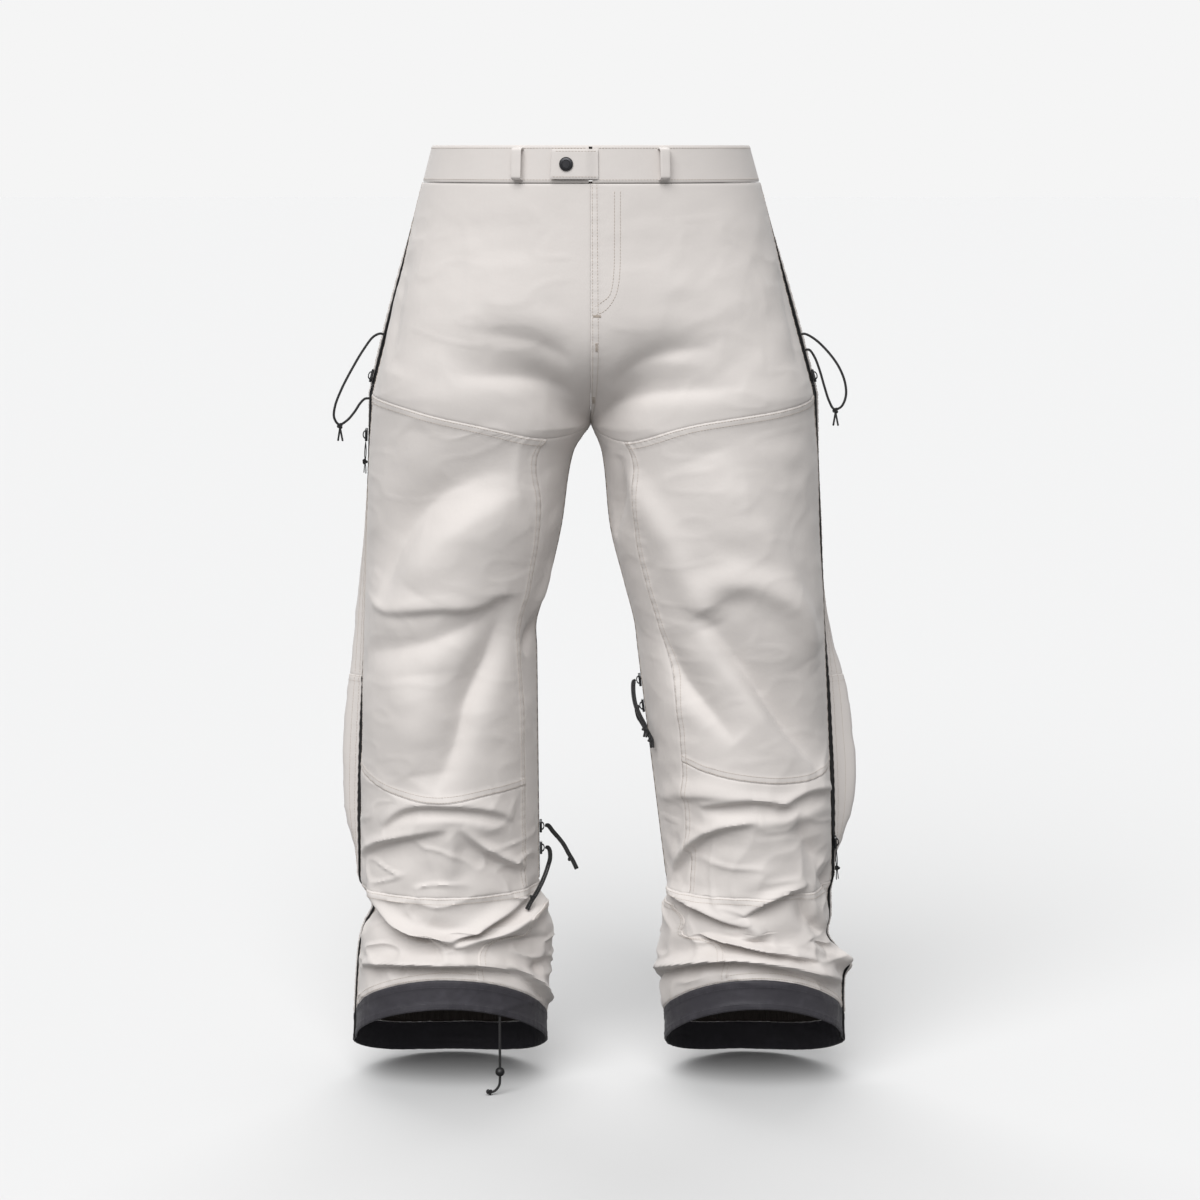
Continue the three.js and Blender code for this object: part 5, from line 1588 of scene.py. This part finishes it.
class SKIPANTS_OT_stitching(bpy.types.Operator):
    """Sews the double topstitching, the fly's curved stitching and the bar tacks"""
    bl_idname = "skipants.stitching"
    bl_label = "Topstitching"

    def sew(self, name, lines, size, body="pants", slot="shell"):
        piece = stitches(name, lines, finish("sewing_thread"), size.pitch, size.stitch, size.thread)
        return settle(piece, body, slot)

    def fly(self, size):
        lines = []
        for inset in (0, 6):
            x, drop = smooth_line([(max(a - inset, 1.5), b - inset * (b > 150)) for a, b in J_STITCH], 24).T
            u = front_u(LEFT, x, drop)
            lines.append((drape(LEFT, u, drop, 0.3), base_normal(LEFT, u, drop)))
        self.sew("fly_stitching", lines, size)
        tacks = []
        for x, drop, across, down in BAR_TACKS:
            for row in np.linspace(-0.9, 0.9, 4):
                s = np.linspace(0, 1, 12)
                xs = x + across * s + (row if down else 0)
                ds = drop + down * s + (row if across else 0)
                u = front_u(LEFT, xs, ds)
                tacks.append((drape(LEFT, u, ds, 0.5), base_normal(LEFT, u, ds)))
        piece = stitches("fly_bar_tacks", tacks, finish("sewing_thread"), 1.3, 1.6, size.thread)
        settle(piece, "pants", "shell")

    def waist(self, size):
        w = np.linspace(-0.99, 0.99, 900)
        lines = []
        for drop in (3.0, WAISTBAND_DROP - GAP - 3.0):
            d = np.full(900, drop)
            p = around_waist(w, d, 0.15)
            p[:, 2] = -drop
            lines.append((p, waist_normal(w, d)))
        self.sew("waistband_stitching", lines, size)
        w = np.linspace(-0.487, 0.487, 500)
        top = np.full(500, WAISTBAND_DROP + GAP + 2.4)
        self.sew("seat_yoke_stitching", [(around_waist(w, top, 0.5), waist_normal(w, top))], size)
        f = np.linspace(TAB_U[0] - 0.004, TAB_U[1] + 0.003, 120)
        lines = []
        for drop in (TAB_DROPS[0] + 2.2, TAB_DROPS[1] - 2.2):
            d = np.full(120, float(drop))
            rise = mix(*TAB_LIFTS, smooth(ramp(-f, -TAB_U[0], 0.012))) + 1.85
            lines.append((across_front(f, d, rise), np.tile((0.0, -1.0, 0.0), (120, 1))))
        self.sew("closure_tab_stitching", lines, size, "closure")

    def execute(self, context):
        size = context.scene.ski_pants_sizes
        for side, word, panels in each_leg():
            for part, panel in panels.items():
                if panel.stitched:
                    self.sew(f"{part}_{word}_stitching", panel.stitch_rows(), size)
            self.sew(f"kick_patch_{word}_stitching", kick_panel(side).stitch_rows(1.12), size)
            band = stitches(f"hem_band_{word}_stitching", hem_panel(side).stitch_rows(0.37), finish("hem_thread"),
                            size.pitch, size.stitch, size.thread)
            settle(band, "pants", "black_fabric")
        flap_end = lambda u: FLAP_END + FLAP_POINT * np.sin(np.pi * ramp(u, *FLAP_U))
        flap = Panel(RIGHT, level(FLAP_U[0]), level(FLAP_U[1]), level(FLAP_TOP), flap_end, "LRTB")
        self.sew("back_pocket_flap_stitching", flap.stitch_rows(2.32), size, "back_pocket_flap")
        self.fly(size)
        self.waist(size)
        return {"FINISHED"}


# ---------------------------------------------------------------- fittings
KEPT_FITTINGS = {
    "slider_lacquer": ["fly_slider"] + [f"{part}_{word}" for word in SIDES.values() for part in (
        "pocket_slider", "side_slider", "vent_upper_slider", "vent_lower_slider")],
    "snap_metal": ["snap_stud", "snap_cap"],
    "moulded_plastic": ["ball_lock"],
}


class SKIPANTS_OT_fittings(bpy.types.Operator):
    """Gives the sliders, the snap and the hem's ball lock their finishes"""
    bl_idname = "skipants.fittings"
    bl_label = "Fittings"

    def execute(self, context):
        for finish_name, nodes in KEPT_FITTINGS.items():
            for node in nodes:
                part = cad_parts[node]
                for slot in part.material_slots:
                    slot.material = finish(finish_name)
        return {"FINISHED"}


# ---------------------------------------------------------------- the add-on
OPERATORS = (SKIPANTS_OT_stage, SKIPANTS_OT_cords, SKIPANTS_OT_legs, SKIPANTS_OT_waist, SKIPANTS_OT_hems,
             SKIPANTS_OT_zips, SKIPANTS_OT_pulls, SKIPANTS_OT_stitching, SKIPANTS_OT_fittings)


class SKIPANTS_PT_panel(bpy.types.Panel):
    """Lists the makers of the ski pants"""
    bl_idname = "SKIPANTS_PT_panel"
    bl_label = "Ski Pants"
    bl_space_type = "VIEW_3D"
    bl_region_type = "UI"
    bl_category = "Ski Pants"

    def draw(self, context):
        for operator in OPERATORS:
            self.layout.operator(operator.bl_idname)
        for group in (context.scene.ski_pants_sizes, context.scene.ski_pants_colours):
            for key in group.__annotations__:
                self.layout.prop(group, key)


CLASSES = (SkiPantsSizes, SkiPantsColours, *OPERATORS, SKIPANTS_PT_panel)


def register():
    for each in CLASSES:
        bpy.utils.register_class(each)
    bpy.types.Scene.ski_pants_sizes = bpy.props.PointerProperty(type=SkiPantsSizes)
    bpy.types.Scene.ski_pants_colours = bpy.props.PointerProperty(type=SkiPantsColours)


def unregister():
    del bpy.types.Scene.ski_pants_colours
    del bpy.types.Scene.ski_pants_sizes
    for each in reversed(CLASSES):
        bpy.utils.unregister_class(each)


def main():
    register()
    for operator in OPERATORS:
        group, name = operator.bl_idname.split(".")
        getattr(getattr(bpy.ops, group), name)()


if __name__ == "__main__":
    main()
